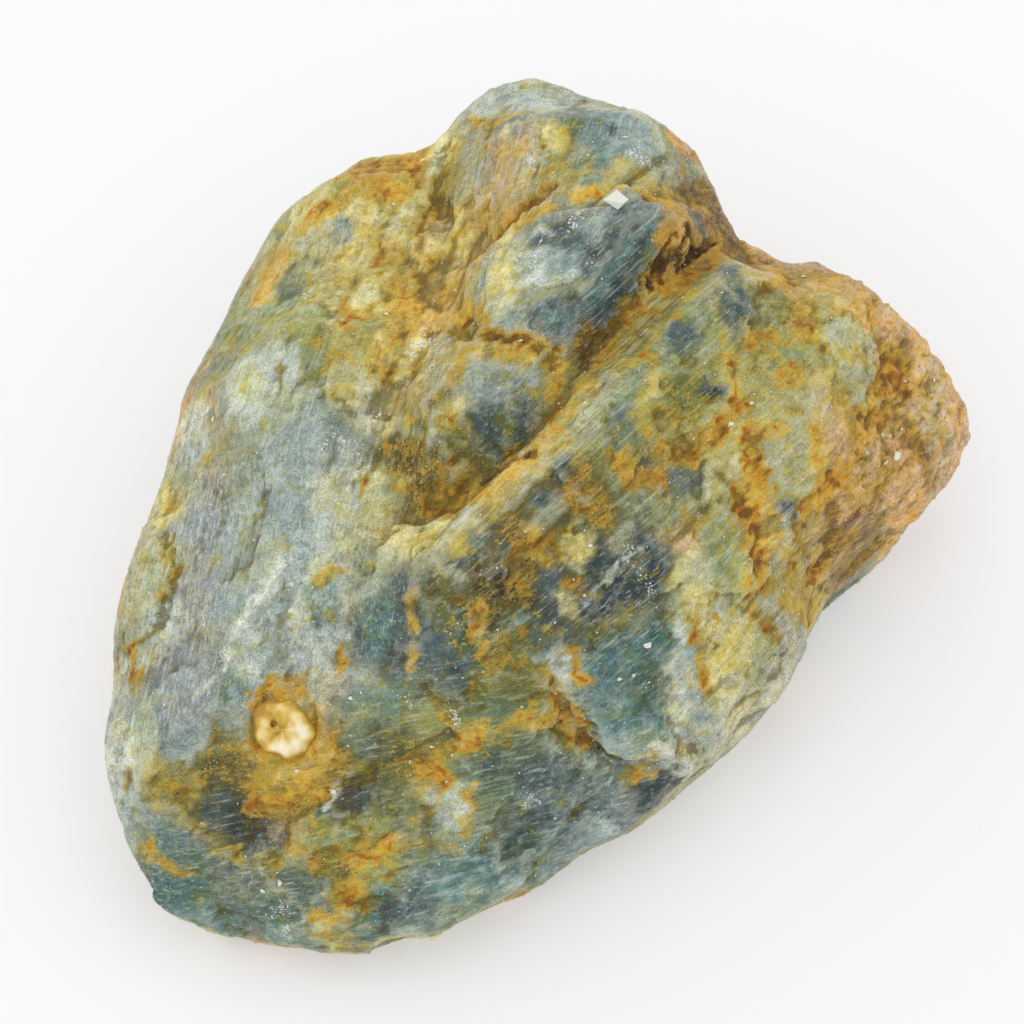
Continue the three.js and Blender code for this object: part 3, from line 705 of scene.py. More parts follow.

# %% Veins, stains and small spots
# strokes of painted crevice shade darken crevices, and strokes of flakes and glints strew white flakes and
# paint glints
DETAILS = [  # (swatch, width, path), as for the fields
    # the upper left
    ("mustard", 2.6, [(-15, 26.8), (-10, 27.4)]),
    ("primrose", 2.6, [(-21, 24.4), (-17.6, 23)]),
    ("mustard", 1.2, [(-20, 22), (-16, 24), (-12, 24)]),
    ("ochre", 2.0, [(-14.5, 26.6), (-9, 28)]),
    ("rust", 0.7, [(-14.4, 26), (-13.4, 25.4)]),
    ("rust", 0.8, [(-12.4, 24), (-12, 22.8)]),
    ("mustard", 0.8, [(-23.6, 16), (-22, 20)]),
    ("sand", 1.6, [(-23, 16), (-22, 20)]),
    ("rust", 0.75, [(-13.6, 16.9), (-12.2, 16.6)]),
    ("mustard", 0.7, [(-15.4, 10.8), (-14.2, 11)]),
    ("mustard", 1.3, [(-13.2, 18.2), (-12.6, 17)]),
    ("ochre", 0.7, [(-16.2, 12.4), (-15.8, 9.6)]),
    ("ochre", 0.6, [(-21, 6.8), (-21.6, 5.6)]),
    ("rust", 0.6, [(-7.8, 19.6), (-7.2, 18.8)]),
    ("stone", 1.3, [(-21, 16.4), (-20.6, 14.6)]),
    ("mist", 1.0, [(-17.4, 21.4), (-16.6, 20)]),
    ("moss", 0.8, [(-17.6, 9), (-18.6, 4)]),
    ("mustard", 1.5, [(-11.6, 15), (-11.8, 6)]),
    ("sand", 2.6, [(-9, 20), (-8, 13), (-9.6, 10)]),
    ("ochre", 0.7, [(-30.4, 0), (-30.2, -3)]),
    ("clay", 0.9, [(-29.4, 8.4), (-30.2, 4.4)]),
    ("mustard", 0.5, [(-27.6, 0.4), (-26.6, 0)]),
    ("flakes_and_glints", 0.9, [(-19, 14), (-18.6, 11.6)]),
    ("milk", 1.8, [(-13.4, 3), (-13.4, 0.8)]),
    ("mustard", 1.5, [(-6.4, 8.6), (-6, 7.4)]),
    ("cream", 2.0, [(-8, 19), (-7.8, 16.8)]),
    ("celadon", 1.8, [(-19, 20.4), (-18.6, 18.8)]),
    ("cream", 1.7, [(-10.8, 7), (-10.8, 4.6)]),
    ("frost", 2.2, [(-24.2, 6), (-24, 3)]),
    ("frost", 2.0, [(-21.2, 6.2), (-20.8, 3.8)]),
    ("milk", 1.8, [(-28.6, 4.8), (-28.2, 2)]),
    ("cream", 1.6, [(-30.4, 0), (-30, -2.6)]),
    ("celadon", 1.7, [(-15.6, 4.4), (-15.4, 2)]),
    # the lobe
    ("glaze", 1.6, [(-8.6, 27), (-7.4, 22)]),
    ("mustard", 0.5, [(-6.2, 30.6), (-5, 28.4), (-3.4, 28.8), (0, 29)]),
    ("glaze", 1.2, [(1, 22.4), (2, 26.6)]),
    ("cream", 1.5, [(-8.9, 27), (-8.2, 30)]),
    ("teal", 1.0, [(2.6, 18.2), (3.8, 18.4)]),
    ("teal", 1.2, [(2.6, 29.6), (5, 26.6)]),
    ("slate", 0.6, [(3, 26), (5, 24.4)]),
    ("flakes_and_glints", 1.4, [(7, 21.6), (8.6, 22.6)]),
    ("flakes_and_glints", 0.9, [(3.4, 22), (4.4, 23)]),
    ("flakes_and_glints", 0.9, [(-2, 21), (-1, 23.4)]),
    ("ochre", 1.1, [(-4, 16.2), (-1.6, 17.8), (-0.2, 18.6)]),
    ("mustard", 1.2, [(-2.4, 16), (-1, 16.2)]),
    ("mustard", 1.0, [(1.2, 17.4), (5, 16.8), (9, 17)]),
    ("mustard", 0.6, [(9.4, 19), (12.4, 19.6)]),
    ("umber", 1.4, [(12, 18), (14, 15.8)]),
    ("slate", 0.8, [(11.4, 18), (12.4, 17.2)]),
    ("rust", 0.9, [(11.6, 16), (13.6, 15)]),
    ("ochre", 1.0, [(13.4, 17.2), (14, 15.8)]),
    # the upper block and the fissure
    ("teal", 0.5, [(-1, 6.6), (1.4, 5.4)]),
    ("ink", 1.5, [(3.2, 9.2), (4.1, 10.7), (5, 12)]),
    ("flakes_and_glints", 1.2, [(-1.6, 10.2), (-0.4, 9.6)]),
    ("flakes_and_glints", 0.8, [(-0.4, 12), (2, 13.8)]),
    ("cream", 1.2, [(-3.6, 14.4), (-3.8, 11), (-4.2, 7.4)]),
    ("flakes_and_glints", 0.6, [(-4.2, 8), (-3.6, 7)]),
    ("milk", 0.3, [(-1.7, 13.1), (-0.5, 13.9), (0.4, 12.9)]),
    ("flakes_and_glints", 1.2, [(-2, 10.8), (-1.2, 9.6), (0.2, 8.8)]),
    ("teal", 1.2, [(0.6, 9.7), (1.6, 10.6)]),
    ("teal", 0.5, [(6.6, 11.6), (4.4, 7.6)]),
    ("mustard", 1.2, [(9.6, 16.2), (11, 15.8)]),
    ("honey", 1.5, [(11.2, 15.4), (9.6, 13.3), (8.1, 11.2), (6.2, 8.3), (4.4, 5.9)]),
    ("teal", 1.5, [(7.8, 13.2), (6.6, 11), (4.6, 7.8), (3.2, 5.8)]),
    ("ink", 0.5, [(7.6, 12.6), (6.9, 10.8), (4.8, 7.6), (3, 5.2)]),
    ("ochre", 1.3, [(12.9, 14.4), (10.8, 11.6), (8.4, 8.8), (5.8, 6), (4, 3.6)]),
    ("mustard", 0.9, [(4, 3.6), (2.2, 0.4), (0.6, -3), (-1.6, -5.4), (-5, -5.8)]),
    # the umber line along the fissure's floor is partly iron ochre and partly painted shade, and the next
    # line is painted shade in the crevice's upper part
    ("umber", 0.5, [(8.6, 11.2), (7.1, 9.4), (5.1, 6.5), (3.4, 4.4), (2.6, 3.2)]),
    ("soot", 0.55, [(13.6, 17.2), (11.4, 14.9), (9.5, 12.2), (8, 10.5)]),
    ("ochre", 0.9, [(10.8, 14.8), (8.8, 12.6)]),
    ("honey", 1.1, [(3, 5), (2.2, 3.2)]),
    ("ochre", 0.9, [(9, 10.4), (7.6, 8.6)]),
    # the lower block
    ("ochre", 1.0, [(-6.4, 6.8), (-5.2, 6)]),
    ("mustard", 0.5, [(-7, 5), (-6.8, 3), (-7.2, 1.6)]),
    ("flakes_and_glints", 0.8, [(-9.2, 7.4), (-8.6, 4)]),
    ("mustard", 1.5, [(-5.6, 4.8), (-4.2, 4.2), (-2, 3.4)]),
    ("mustard", 0.5, [(-4, 5.6), (-1, 4.4), (0.6, 2.6)]),
    ("mustard", 0.8, [(0.6, 2.6), (0.4, -1), (1.4, -2)]),
    ("moss", 0.5, [(-4.2, -1), (-3, -1.4)]),
    ("frost", 0.25, [(-4.6, 2.8), (-2, 2.4)]),
    # under the lower block: a line of painted shade at the foot of its edge, and dark olive that is partly
    # painted shade of the hollow
    ("soot", 0.45, [(-5, -5), (-3.4, -5.3), (-1.8, -4.9)]),
    ("olive", 1.5, [(-11, -2.6), (-9.4, -4)]),
    ("mustard", 1.6, [(-7.8, -5.4), (-4.6, -6.4)]),
    ("olive", 1.5, [(-10.8, -3), (-9, -4.4)]),
    ("flakes_and_glints", 0.8, [(-9.9, 8.8), (-10.8, 6.6)]),
    ("flakes_and_glints", 0.7, [(-11.9, 4.8), (-12.8, 3.4)]),
    ("flakes_and_glints", 0.6, [(-13.4, 1.4), (-13.7, -0.4)]),
    ("glaze", 1.2, [(-12.6, 3), (-13, 0.4)]),
    # the ridge and the face right of it
    ("frost", 0.5, [(6.4, 4), (3.6, 0.4)]),
    ("silver", 1.2, [(8.4, 8.8), (7.5, 7.7), (4.7, 2.6), (2.8, -2.4), (0.5, -6), (-3.5, -8.4),
                     (-7.6, -11)]),
    ("flakes_and_glints", 0.4, [(3.6, 0.6), (2.4, -1.6)]),
    ("leaf", 0.5, [(11.4, 9.6), (8, 5.4), (5.2, 1)]),
    ("mustard", 0.8, [(14, 4.4), (14.4, 0.8)]),
    ("ochre", 0.7, [(14.4, 0.8), (13, -1), (12, -1.6)]),
    ("mustard", 1.1, [(12, -1.6), (10, -2.6), (5.4, -4.8)]),
    ("ochre", 0.9, [(8.4, -4.6), (6.2, -5.8)]),
    ("mustard", 0.7, [(15.8, 6.6), (17.4, 7.6)]),
    ("mustard", 0.7, [(7.6, 3.6), (8, 1)]),
    ("ink", 0.7, [(12, 1.6), (13, 1.4)]),
    ("slate", 1.2, [(13.8, 9), (14.4, 7.4)]),
    ("mustard", 0.9, [(18, 3.6), (19.4, 4.4)]),
    ("mustard", 1.2, [(20.4, 11), (20, 8)]),
    ("ochre", 0.7, [(18.6, 14), (19.2, 13)]),
    ("mustard", 0.9, [(27.2, 9.6), (26.4, 5), (25, 3), (22.6, 3.4)]),
    ("ochre", 0.7, [(25, 1), (21, -2.6), (19.6, -5.2)]),
    ("mustard", 0.6, [(16.4, 0), (18.4, -0.6)]),
    ("mustard", 0.8, [(20.8, 0.4), (21.4, -2.6)]),
    ("ochre", 1.0, [(14.6, -4.6), (16, -6.2), (16.6, -8.6)]),
    ("mustard", 1.3, [(15.6, -2), (16.4, -5)]),
    ("ochre", 0.8, [(14.8, 0.6), (16, -2.4), (17, -4.6)]),
    ("slate", 0.7, [(17.4, -4.6), (19, -4.4)]),
    ("flakes_and_glints", 0.9, [(9, -5.4), (8.2, -7)]),
    ("ochre", 0.8, [(16.6, -11), (17.8, -11.2)]),
    ("mustard", 0.5, [(15.2, -9.6), (16, -10.6)]),
    ("ochre", 0.4, [(12.4, -11.6), (12.8, -13)]),
    ("mustard", 0.7, [(11, -14), (11.8, -16), (12.6, -18)]),
    ("frost", 1.0, [(9.8, -15), (9.8, -20)]),
    ("mustard", 1.2, [(22, -5), (20.6, -9)]),
    ("mustard", 1.3, [(19.6, -6.8), (18.6, -8.6)]),
    ("celadon", 1.4, [(12, -10.6), (13.2, -11.4)]),
    ("leaf", 1.2, [(7.4, -0.2), (7, -2)]),
    ("stone", 1.2, [(6, -3), (7.2, -3.8)]),
    ("ochre", 1.2, [(15, -5.8), (15.8, -7.2)]),
    ("mustard", 1.2, [(17, -5), (17.2, -6.4)]),
    ("celadon", 1.3, [(5, -9.2), (5.4, -10.2)]),
    ("mist", 1.2, [(12.6, -18.2), (12.8, -19.6)]),
    # the right end
    ("ochre", 1.3, [(28.4, 9.4), (26.8, 7)]),
    ("rust", 0.8, [(28, 9), (28.6, 7.4)]),
    ("rust", 0.7, [(30.6, 9), (31.4, 8.8)]),
    ("rose", 1.6, [(31.4, 10), (32, 4)]),
    ("umber", 1.0, [(28.6, 5), (31, 3.4)]),
    ("ochre", 1.1, [(26, 5), (24.6, 2.4)]),
    ("umber", 1.0, [(27, -1), (23.6, -3.6)]),
    ("umber", 0.4, [(22.8, -2.6), (22.2, -5)]),
    ("rose", 1.0, [(26.6, -3), (24, -6)]),
    # the blade, the ledge and the slab
    ("mustard", 0.6, [(5.6, -12), (7.2, -11.2)]),
    ("mustard", 0.5, [(3, -13.6), (4, -12.8)]),
    ("slate", 1.7, [(0.5, -13), (-0.2, -14.4)]),
    ("ochre", 0.6, [(1.8, -12.9), (2.4, -13.2)]),
    ("cream", 0.8, [(1.2, -13.8), (1.6, -15)]),
    ("field", 0.6, [(2.4, -15.6), (6, -14.2)]),
    ("ochre", 1.2, [(1, -7.6), (3.6, -8)]),
    ("olive", 1.6, [(2.6, -6.6), (4, -8.4)]),
    ("slate", 0.8, [(-0.4, -8.2), (1.2, -6.4)]),
    ("frost", 0.12, [(2.6, -15), (8, -10.8)]),
    ("frost", 0.12, [(3.4, -13.4), (8, -9.6)]),
    ("ink", 1.7, [(3.4, -13.8), (5.6, -12.2), (7.4, -10.8)]),
    ("frost", 0.14, [(2.2, -14.2), (7.4, -9.8)]),
    ("flakes_and_glints", 0.6, [(6, -10.6), (7.6, -12.4)]),
    ("bottle", 1.3, [(8.6, -15), (7, -18.6)]),
    ("flakes_and_glints", 0.35, [(6, -18.2), (7.4, -18.4)]),
    ("ochre", 0.7, [(1.6, -16.8), (2.6, -19)]),
    ("teal", 1.3, [(-2, -16), (-0.8, -16.6)]),
    ("rust", 0.5, [(-2, -16.8), (-1, -17.2)]),
    ("bottle", 1.1, [(1.6, -15.8), (3.4, -16.4)]),
    ("mustard", 0.6, [(-3.6, -17), (-4, -19)]),
    ("fern", 2.1, [(-4.7, -14.6), (-4.6, -17)]),
    ("peat", 1.3, [(-5.2, -14.8), (-5.3, -16.6)]),
    ("moss", 1.4, [(-3, -20), (1.6, -22)]),
    ("ochre", 0.7, [(0.6, -20.6), (2.4, -21.6)]),
    ("mist", 1.0, [(3.8, -23), (8, -21.8)]),
    ("milk", 0.5, [(8, -21.7), (10.6, -22.1), (12.4, -22)]),
    ("flakes_and_glints", 0.6, [(8, -21.8), (12.2, -22.2)]),
    ("mustard", 0.5, [(6, -23.4), (8, -22.6)]),
    ("ink", 1.8, [(6.4, -25), (9.6, -24)]),
    ("frost", 0.5, [(4.6, -26), (6.4, -26)]),
    ("mist", 1.1, [(5.4, -24.2), (6.4, -24.6)]),
    ("flakes_and_glints", 0.5, [(3, -27.6), (6.6, -26)]),
    ("frost", 0.8, [(-8, -32.4), (0, -30.4), (5, -27.8)]),
    ("ink", 1.0, [(-2.8, -29), (-1.4, -28)]),
    # the middle
    ("mustard", 1.6, [(-4.4, -7.8), (-0.6, -4.6)]),
    ("ochre", 0.8, [(-7.6, -8.6), (-5, -7.2)]),
    ("rust", 0.5, [(-8, -8.8), (-7, -8)]),
    ("peat", 1.2, [(-4.6, -14), (-1.4, -14.6)]),
    ("mustard", 0.8, [(-1, -10.6), (-0.6, -11.8)]),
    ("ink", 0.8, [(-8.2, -12.4), (-7, -13)]),
    ("frost", 1.2, [(-6.4, -9.6), (-8.6, -11.4)]),
    ("leaf", 1.5, [(-9.4, -11), (-7.6, -11.6)]),
    ("teal", 1.3, [(-17.6, -13.4), (-17, -14.6)]),
    ("cream", 1.4, [(-15.2, -10.4), (-14.8, -11.4)]),
    ("frost", 1.8, [(-23.2, -15.8), (-22.8, -17.4)]),
    ("frost", 1.6, [(-15.8, -4.6), (-15.6, -6.4)]),
    ("moss", 1.3, [(-8.6, -15.2), (-8, -16.4)]),
    ("flakes_and_glints", 1.5, [(-16.6, -1.6), (-14.8, -3.4)]),
    ("flakes_and_glints", 0.8, [(-17.6, -4.4), (-16.6, -5)]),
    ("rust", 0.35, [(-13.8, -4), (-14.6, -6.4)]),
    ("frost", 1.0, [(-17.6, -5), (-17.4, -9)]),
    # painted highlights along the crest of the left flank: a thin milky line and white specks
    ("milk", 0.22, [(-19.4, -10.4), (-20.6, -12), (-22.7, -13.9), (-23.8, -15.2), (-24.8, -17.6),
                    (-27, -19.3)]),
    ("flakes_and_glints", 0.4, [(-19.4, -10.4), (-20.6, -12), (-22.7, -13.9), (-23.8, -15.2), (-24.8, -17.6),
                   (-27, -19.3)]),
    ("mustard", 0.6, [(-17.4, -12.4), (-15.4, -12.2)]),
    ("ochre", 0.4, [(-15.8, -17.6), (-15.8, -18.6)]),
    ("mustard", 0.5, [(-10.4, -15), (-10.2, -19)]),
    ("mustard", 0.5, [(-5.4, -15.4), (-4.8, -19)]),
    ("flakes_and_glints", 0.7, [(-7.6, -21), (-7.4, -22)]),
    ("flakes_and_glints", 0.5, [(-11, -20.6), (-9.6, -20.4)]),
    ("stone", 1.9, [(-15.6, -21.6), (-12, -23)]),
    ("celadon", 1.8, [(-13.8, -11.8), (-14, -13.4)]),
    ("mustard", 0.9, [(-5.4, -22.4), (-8, -23.6), (-10, -23.8)]),
    ("fern", 1.5, [(-12.6, -23), (-10.8, -23.4)]),
    ("ochre", 1.0, [(-9.4, -24.8), (-8.4, -25.4)]),
    ("mustard", 0.6, [(-6.4, -23), (0, -21.4)]),
    ("glaze", 1.8, [(-10.8, -24), (-13.8, -30)]),
    ("mustard", 0.6, [(-9.8, -26), (-9.4, -29.4)]),
    ("mustard", 0.5, [(-6, -26), (-6.4, -29)]),
    ("mustard", 0.5, [(-14, -29.4), (-7.6, -29.8)]),
    ("stone", 1.7, [(-10.5, -27), (-9.4, -29.9)]),
    ("moss", 1.2, [(-3, -23.2), (-1.6, -23.4)]),
    ("fern", 1.4, [(-13, -25.6), (-12, -26.4)]),
    ("slate", 1.5, [(-4, -24.6), (0, -24), (3, -24)]),
    ("slate", 1.4, [(-0.6, -27), (1.6, -26.4)]),
    ("flakes_and_glints", 0.5, [(-2.4, -26.2), (-1, -26)]),
    # around the nodule and the front
    ("mustard", 3.2, [(-20.2, -22.4)]),
    ("ochre", 1.4, [(-18.6, -24.2), (-17, -23.4)]),
    ("ochre", 1.1, [(-22.3, -20.4), (-21, -19.3), (-19.2, -19.4)]),
    ("umber", 0.5, [(-21.8, -20.2), (-20.6, -19.6)]),
    ("mustard", 1.8, [(-21, -25.2), (-17.4, -24.4)]),
    ("rust", 0.5, [(-22.6, -26.4), (-22, -26.2)]),
    ("slate", 1.2, [(-14.4, -26), (-16.4, -27)]),
    ("milk", 0.35, [(-16.2, -25.4), (-16.6, -26.8)]),
    ("ink", 1.2, [(-24, -27), (-22.4, -28.4)]),
    ("leaf", 0.7, [(-31, -25.5), (-28, -27), (-25, -29), (-22, -30), (-15, -30)]),
    ("mustard", 0.5, [(-20, -29), (-17.6, -30.4), (-13, -30)]),
    ("celadon", 0.4, [(-22, -30.5), (-18.6, -33.4)]),
    ("celadon", 0.45, [(-16.6, -30.6), (-18.2, -34)]),
    ("mustard", 1.6, [(-15.6, -31), (-15, -34)]),
    ("mustard", 0.7, [(-17.8, -33.3), (-17.2, -33.7)]),
    ("rust", 0.7, [(-15.8, -32), (-15.4, -32.8)]),
    ("rust", 0.5, [(-14.4, -32.4), (-14, -33)]),
    ("teal", 1.4, [(-29.6, -30), (-27.6, -30.2)]),
    ("mustard", 0.4, [(-30, -29.6), (-27.6, -30.4)]),
    ("flakes_and_glints", 0.7, [(-21, -32.8), (-20, -34.2)]),
    ("stone", 1.5, [(-15.4, -34.6), (-13, -34)]),
    ("teal", 2.2, [(-13, -33.6), (-7.7, -31.8), (-4.8, -31)]),
    ("slate", 1.2, [(-12.4, -33.6), (-9.8, -33)]),
    ("leaf", 1.8, [(-29.6, -25), (-28, -25.2)]),
    ("moss", 1.5, [(-18.4, -28.3), (-17.2, -28.7)]),
    ("moss", 1.2, [(-16.8, -30.4), (-16.2, -31)]),
    ("mustard", 0.7, [(-31, -28.6), (-30, -29.6)]),
    # the left edge
    ("mustard", 0.5, [(-32.6, -13.4), (-32, -17)]),
    ("ochre", 0.4, [(-32.5, -14.6), (-32.2, -16.4)]),
    ("leaf", 0.8, [(-30.2, -5.4), (-29.4, -8.6), (-30.4, -11)]),
    ("frost", 1.3, [(-30.2, -11.4), (-30, -13)]),
    ("flakes_and_glints", 0.4, [(-33, -19), (-32.6, -21.6)]),
    ("flakes_and_glints", 0.4, [(-26.2, -20.6), (-25.4, -22)]),
    ("flakes_and_glints", 0.6, [(-26.4, -13), (-25.8, -13.8)]),
]

# %% [markdown]
# The first coat is a scatter of large soft patches. Then come the fields, the crystals, and last the
# veins and spots. Crystals and veins go on patchily, as if rubbed, so that the coat below shows.

# %% Lay the swatches
def lay(weight, swatch):
    """Blends a swatch's qualities into the corners' own, by weight."""
    for name, value in SWATCHES[swatch].items():
        if name == "colour":
            qualities[name] += weight[:, None] * (linear(value)[:3] - qualities[name])
        else:
            qualities[name] += weight * (value - qualities[name])


qualities = {name: np.full(len(points), float(value)) for name, value in START.items()}
qualities["colour"] = np.tile(linear("#a09f80")[:3], (len(points), 1))
for salt, swatch in enumerate(["mist", "celadon", "stone", "cream", "clay"], 61):
    lay(ramp(noise(points, 9, salt, 3), 0.1, 0.5), swatch)
lay(earthy, "clay")
for swatch, width, path in FIELDS:
    lay(0.85 * stroke_weight(path, width), swatch)
patchy = np.clip(0.8 + 0.5 * noise(points, 1.3, 35, 3), 0.3, 1)
for (swatch, _, _), weight in zip(CRYSTALS, crystal_weights):
    lay(patchy * weight, swatch)
for swatch, width, path in DETAILS:
    lay(patchy * stroke_weight(path, width, tight_plan), swatch)
print("laid", len(FIELDS) + len(CRYSTALS) + len(DETAILS), "swatches")

# %% Line the crystals with stain
broken = ramp(noise(points, 2.4, 99, 2), -0.2, 0.4)  # the lines have gaps
qualities["stain"] += 0.26 * rims * broken * ramp(qualities["stain"], 0.05, 0.25)

# %% [markdown]
# The qualities now become attributes of the mesh, which the material and Geometry Nodes can read.
# Two more join them: glitter is gathered into clusters, and grit lies where much ochre has washed
# into a hollow, and all over the earthy end.

# %% Keep the qualities as attributes
fields = {name: qualities[name] for name in START}
fields["grain"], fields["small_grain"] = numbers[0], numbers[1]
fields["seam"] = np.clip(seam, 0, 1)
fields["hollow"] = np.clip(0.5 + 5 * fine_hollow + 0.9 * broad_hollow, 0, 1)
fields["steep"], fields["level"] = shares["steep"], shares["level"]
clusters = ramp(noise(points, 2.2, 97, 2), 0.0, 0.7) + ramp(noise(points, 0.8, 98), 0.3, 0.8)
fields["glitter"] = np.clip(fields["glitter"] * (0.25 + 1.1 * clusters), 0, 1.2)
washed_in = ramp(fields["stain"], 0.7, 1.0) * ramp(fields["hollow"], 0.4, 0.6)
fields["grit"] = (1 - fields["soot"]) * washed_in + 0.3 * earthy
for name, values in fields.items():
    layer = skin.attributes.new(name, "FLOAT", "POINT")
    layer.data.foreach_set("value", values.astype(np.float32))
layer = skin.attributes.new("paint", "FLOAT_COLOR", "POINT")
opaque = np.pad(qualities["colour"], ((0, 0), (0, 1)), constant_values=1)
layer.data.foreach_set("color", opaque.ravel())
skin.shade_smooth()

# %% [markdown]
# ## One helper for nodes
#
# One function adds a node: it sets the node's own settings, and links or fills in its inputs, so that
# a whole pattern reads as a short list.

# %% Add a node
def add(tree, kind, inputs=None, **settings):
    """Adds a node with its settings. An input takes a socket to link or a value."""
    node = tree.nodes.new(kind)
    for name, value in settings.items():
        if name == "stops":
            elements = node.color_ramp.elements
            while len(elements) < len(value):
                elements.new(0.5)
            for element, (place, code) in zip(elements, value):
                element.position = place
                element.color = linear(code)
        else:
            setattr(node, name, value)
    for name, value in (inputs or {}).items():
        if isinstance(value, bpy.types.NodeSocket):
            tree.links.new(value, node.inputs[name])
        else:
            node.inputs[name].default_value = value
    return node


def new_material(name):
    """A material with an empty node tree."""
    material = bpy.data.materials.new(name)
    material.use_nodes = True
    material.node_tree.nodes.clear()
    return material, material.node_tree


# %% [markdown]
# ## Massive fluorite
#
# Massive fluorite is calcium fluoride that grew too tightly packed for its cubes to show. It is
# cleaved into small faces with a waxy to silky shine, and light goes a little way into it, so that
# even its dark slate-teal parts look soft. Scattering light inside the whole stone takes a third of
# the render's time and barely shows, so the painted colours carry that softness instead. They are
# varied here at the sizes that the net is too coarse for: clouds of a few millimetres, mottling
# under one, fibres, and a sugary speck.

# %% Patterns of the fluorite
fluorite, tree = new_material("weathered massive fluorite")
place = add(tree, "ShaderNodeTexCoord").outputs["Object"]
mm = add(tree, "ShaderNodeMapping", {"Vector": place, "Scale": (1000, 1000, 1000)}).outputs[0]
pattern = {name: add(tree, "ShaderNodeAttribute", attribute_name=name).outputs["Fac"] for name in fields}
paint = add(tree, "ShaderNodeAttribute", attribute_name="paint").outputs["Color"]

NOISES = [  # (name, size in mm, detail, roughness)
    ("drift", 4.0, 4, 0.6),
    ("cloud", 2.2, 5, 0.62),
    ("mottle", 0.8, 5, 0.66),
    ("fleck", 0.42, 3, 0.6),
    ("speck", 0.16, 2, 0.7),
]
for name, size, detail, rough in NOISES:
    pattern[name] = add(tree, "ShaderNodeTexNoise", {
        "Vector": mm, "Scale": 1 / size, "Detail": detail, "Roughness": rough}).outputs["Fac"]

# %% [markdown]
# The fibres are a noise drawn out fourteen times along each of the three directions, and the shares
# of the directions mix them. Flakes and crumbs are the cells of Voronoi nets, each with a random
# shade of its own. The net of the flakes is bent, so that no edge is straight for long.

# %% Fibres, flakes and crumbs
FIBRE_WIDTH = 0.24  # all in millimetres
FLAKE_SIZE = 0.6
CRUMB_SIZE = 0.5
SPARK_SIZE = 0.14
BEND_SIZE, BEND = 1.4, 1.1

streaks = {}
for way, angle in FIBRE_ANGLES.items():
    turned = add(tree, "ShaderNodeMapping", {
        "Vector": mm, "Rotation": (0, 0, -math.radians(angle))}).outputs[0]
    drawn = add(tree, "ShaderNodeMapping", {"Vector": turned, "Scale": (0.07, 1, 1)}).outputs[0]
    streaks[way] = add(tree, "ShaderNodeTexNoise", {
        "Vector": drawn, "Scale": 1 / FIBRE_WIDTH, "Detail": 4, "Roughness": 0.65}).outputs["Fac"]
fibre = streaks["slant"]
for way in ("steep", "level"):
    fibre = add(tree, "ShaderNodeMix", {0: pattern[way], 2: fibre, 3: streaks[way]}).outputs[0]

warp = add(tree, "ShaderNodeTexNoise", {"Vector": mm, "Scale": 1 / BEND_SIZE, "Detail": 4}).outputs["Color"]
bent = add(tree, "ShaderNodeVectorMath", {0: warp, 1: (BEND, BEND, BEND), 2: mm},
           operation="MULTIPLY_ADD").outputs[0]
slant = -math.radians(FIBRE_ANGLES["slant"])
slanted = add(tree, "ShaderNodeMapping", {
    "Vector": bent, "Rotation": (0, 0, slant), "Scale": (0.5, 1, 1)}).outputs[0]
cells = {}
for name, where, size in [
    ("flake", slanted, FLAKE_SIZE), ("crumb", mm, CRUMB_SIZE), ("spark", mm, SPARK_SIZE),
]:
    net = add(tree, "ShaderNodeTexVoronoi", {"Vector": where, "Scale": 1 / size}).outputs["Color"]
    cells[name] = add(tree, "ShaderNodeSeparateColor", {0: net}).outputs
pattern["flake"] = cells["flake"][0]

# fibres show where the stone is silky, and crumbs where it is earthy
for name, source, share in [("fibre", fibre, "silk"), ("crumb", cells["crumb"][0], "earth")]:
    centred = add(tree, "ShaderNodeMath", {0: source, 1: 0.5}, operation="SUBTRACT").outputs[0]
    pattern[name] = add(tree, "ShaderNodeMath", {0: centred, 1: pattern[share], 2: 0.5},
                        operation="MULTIPLY_ADD").outputs[0]

# %% [markdown]
# Every pattern swings about a middle of 0.5, so two steps can build the whole look. One varies a
# number by a few patterns, each by its own amount. The other lays tints over a colour, each where
# its pattern is high, or low where its start is above its end.

# %% Vary a number, tint a colour
def varied(number, amounts):
    """A number that each named pattern raises and lowers about its middle by an amount."""
    for name, amount in amounts.items():
        centred = add(tree, "ShaderNodeMath", {0: pattern[name], 1: 0.5}, operation="SUBTRACT").outputs[0]
        number = add(tree, "ShaderNodeMath", {0: centred, 1: amount, 2: number},
                     operation="MULTIPLY_ADD").outputs[0]
    return number


def tinted(body, tints):
    """A colour with tints laid over it, each rising to its strength as its pattern nears its end."""
    for name, start, end, strength, code, blend in tints:
        share = add(tree, "ShaderNodeMapRange", {0: pattern[name], 1: start, 2: end, 4: strength}).outputs[0]
        body = add(tree, "ShaderNodeMix", {0: share, 6: body, 7: linear(code)},
                   data_type="RGBA", blend_type=blend).outputs[2]
    return body


# %% Light and dark of the fluorite
DARKS = 0.72  # the patterns darken by this much of what they would, so that no spot goes black
# each cleaved grain is lighter or darker, partly its own tone and partly painted light, as if each facet
# caught the light differently
shade = varied(1.0, {"grain": 0.4, "small_grain": 0.42, "cloud": 0.6, "mottle": 0.4, "flake": 0.42,
                     "fibre": 2.2, "speck": 2.1, "crumb": 0.4})
lifted = add(tree, "ShaderNodeMath", {0: shade, 1: DARKS, 2: 1 - DARKS}, operation="MULTIPLY_ADD").outputs[0]
shade = add(tree, "ShaderNodeMath", {0: shade, 1: lifted}, operation="MAXIMUM").outputs[0]
shade = add(tree, "ShaderNodeMath", {0: shade, 1: 0.97}, operation="MULTIPLY").outputs[0]
body = add(tree, "ShaderNodeVectorMath", {0: paint, "Scale": shade}, operation="SCALE").outputs[0]

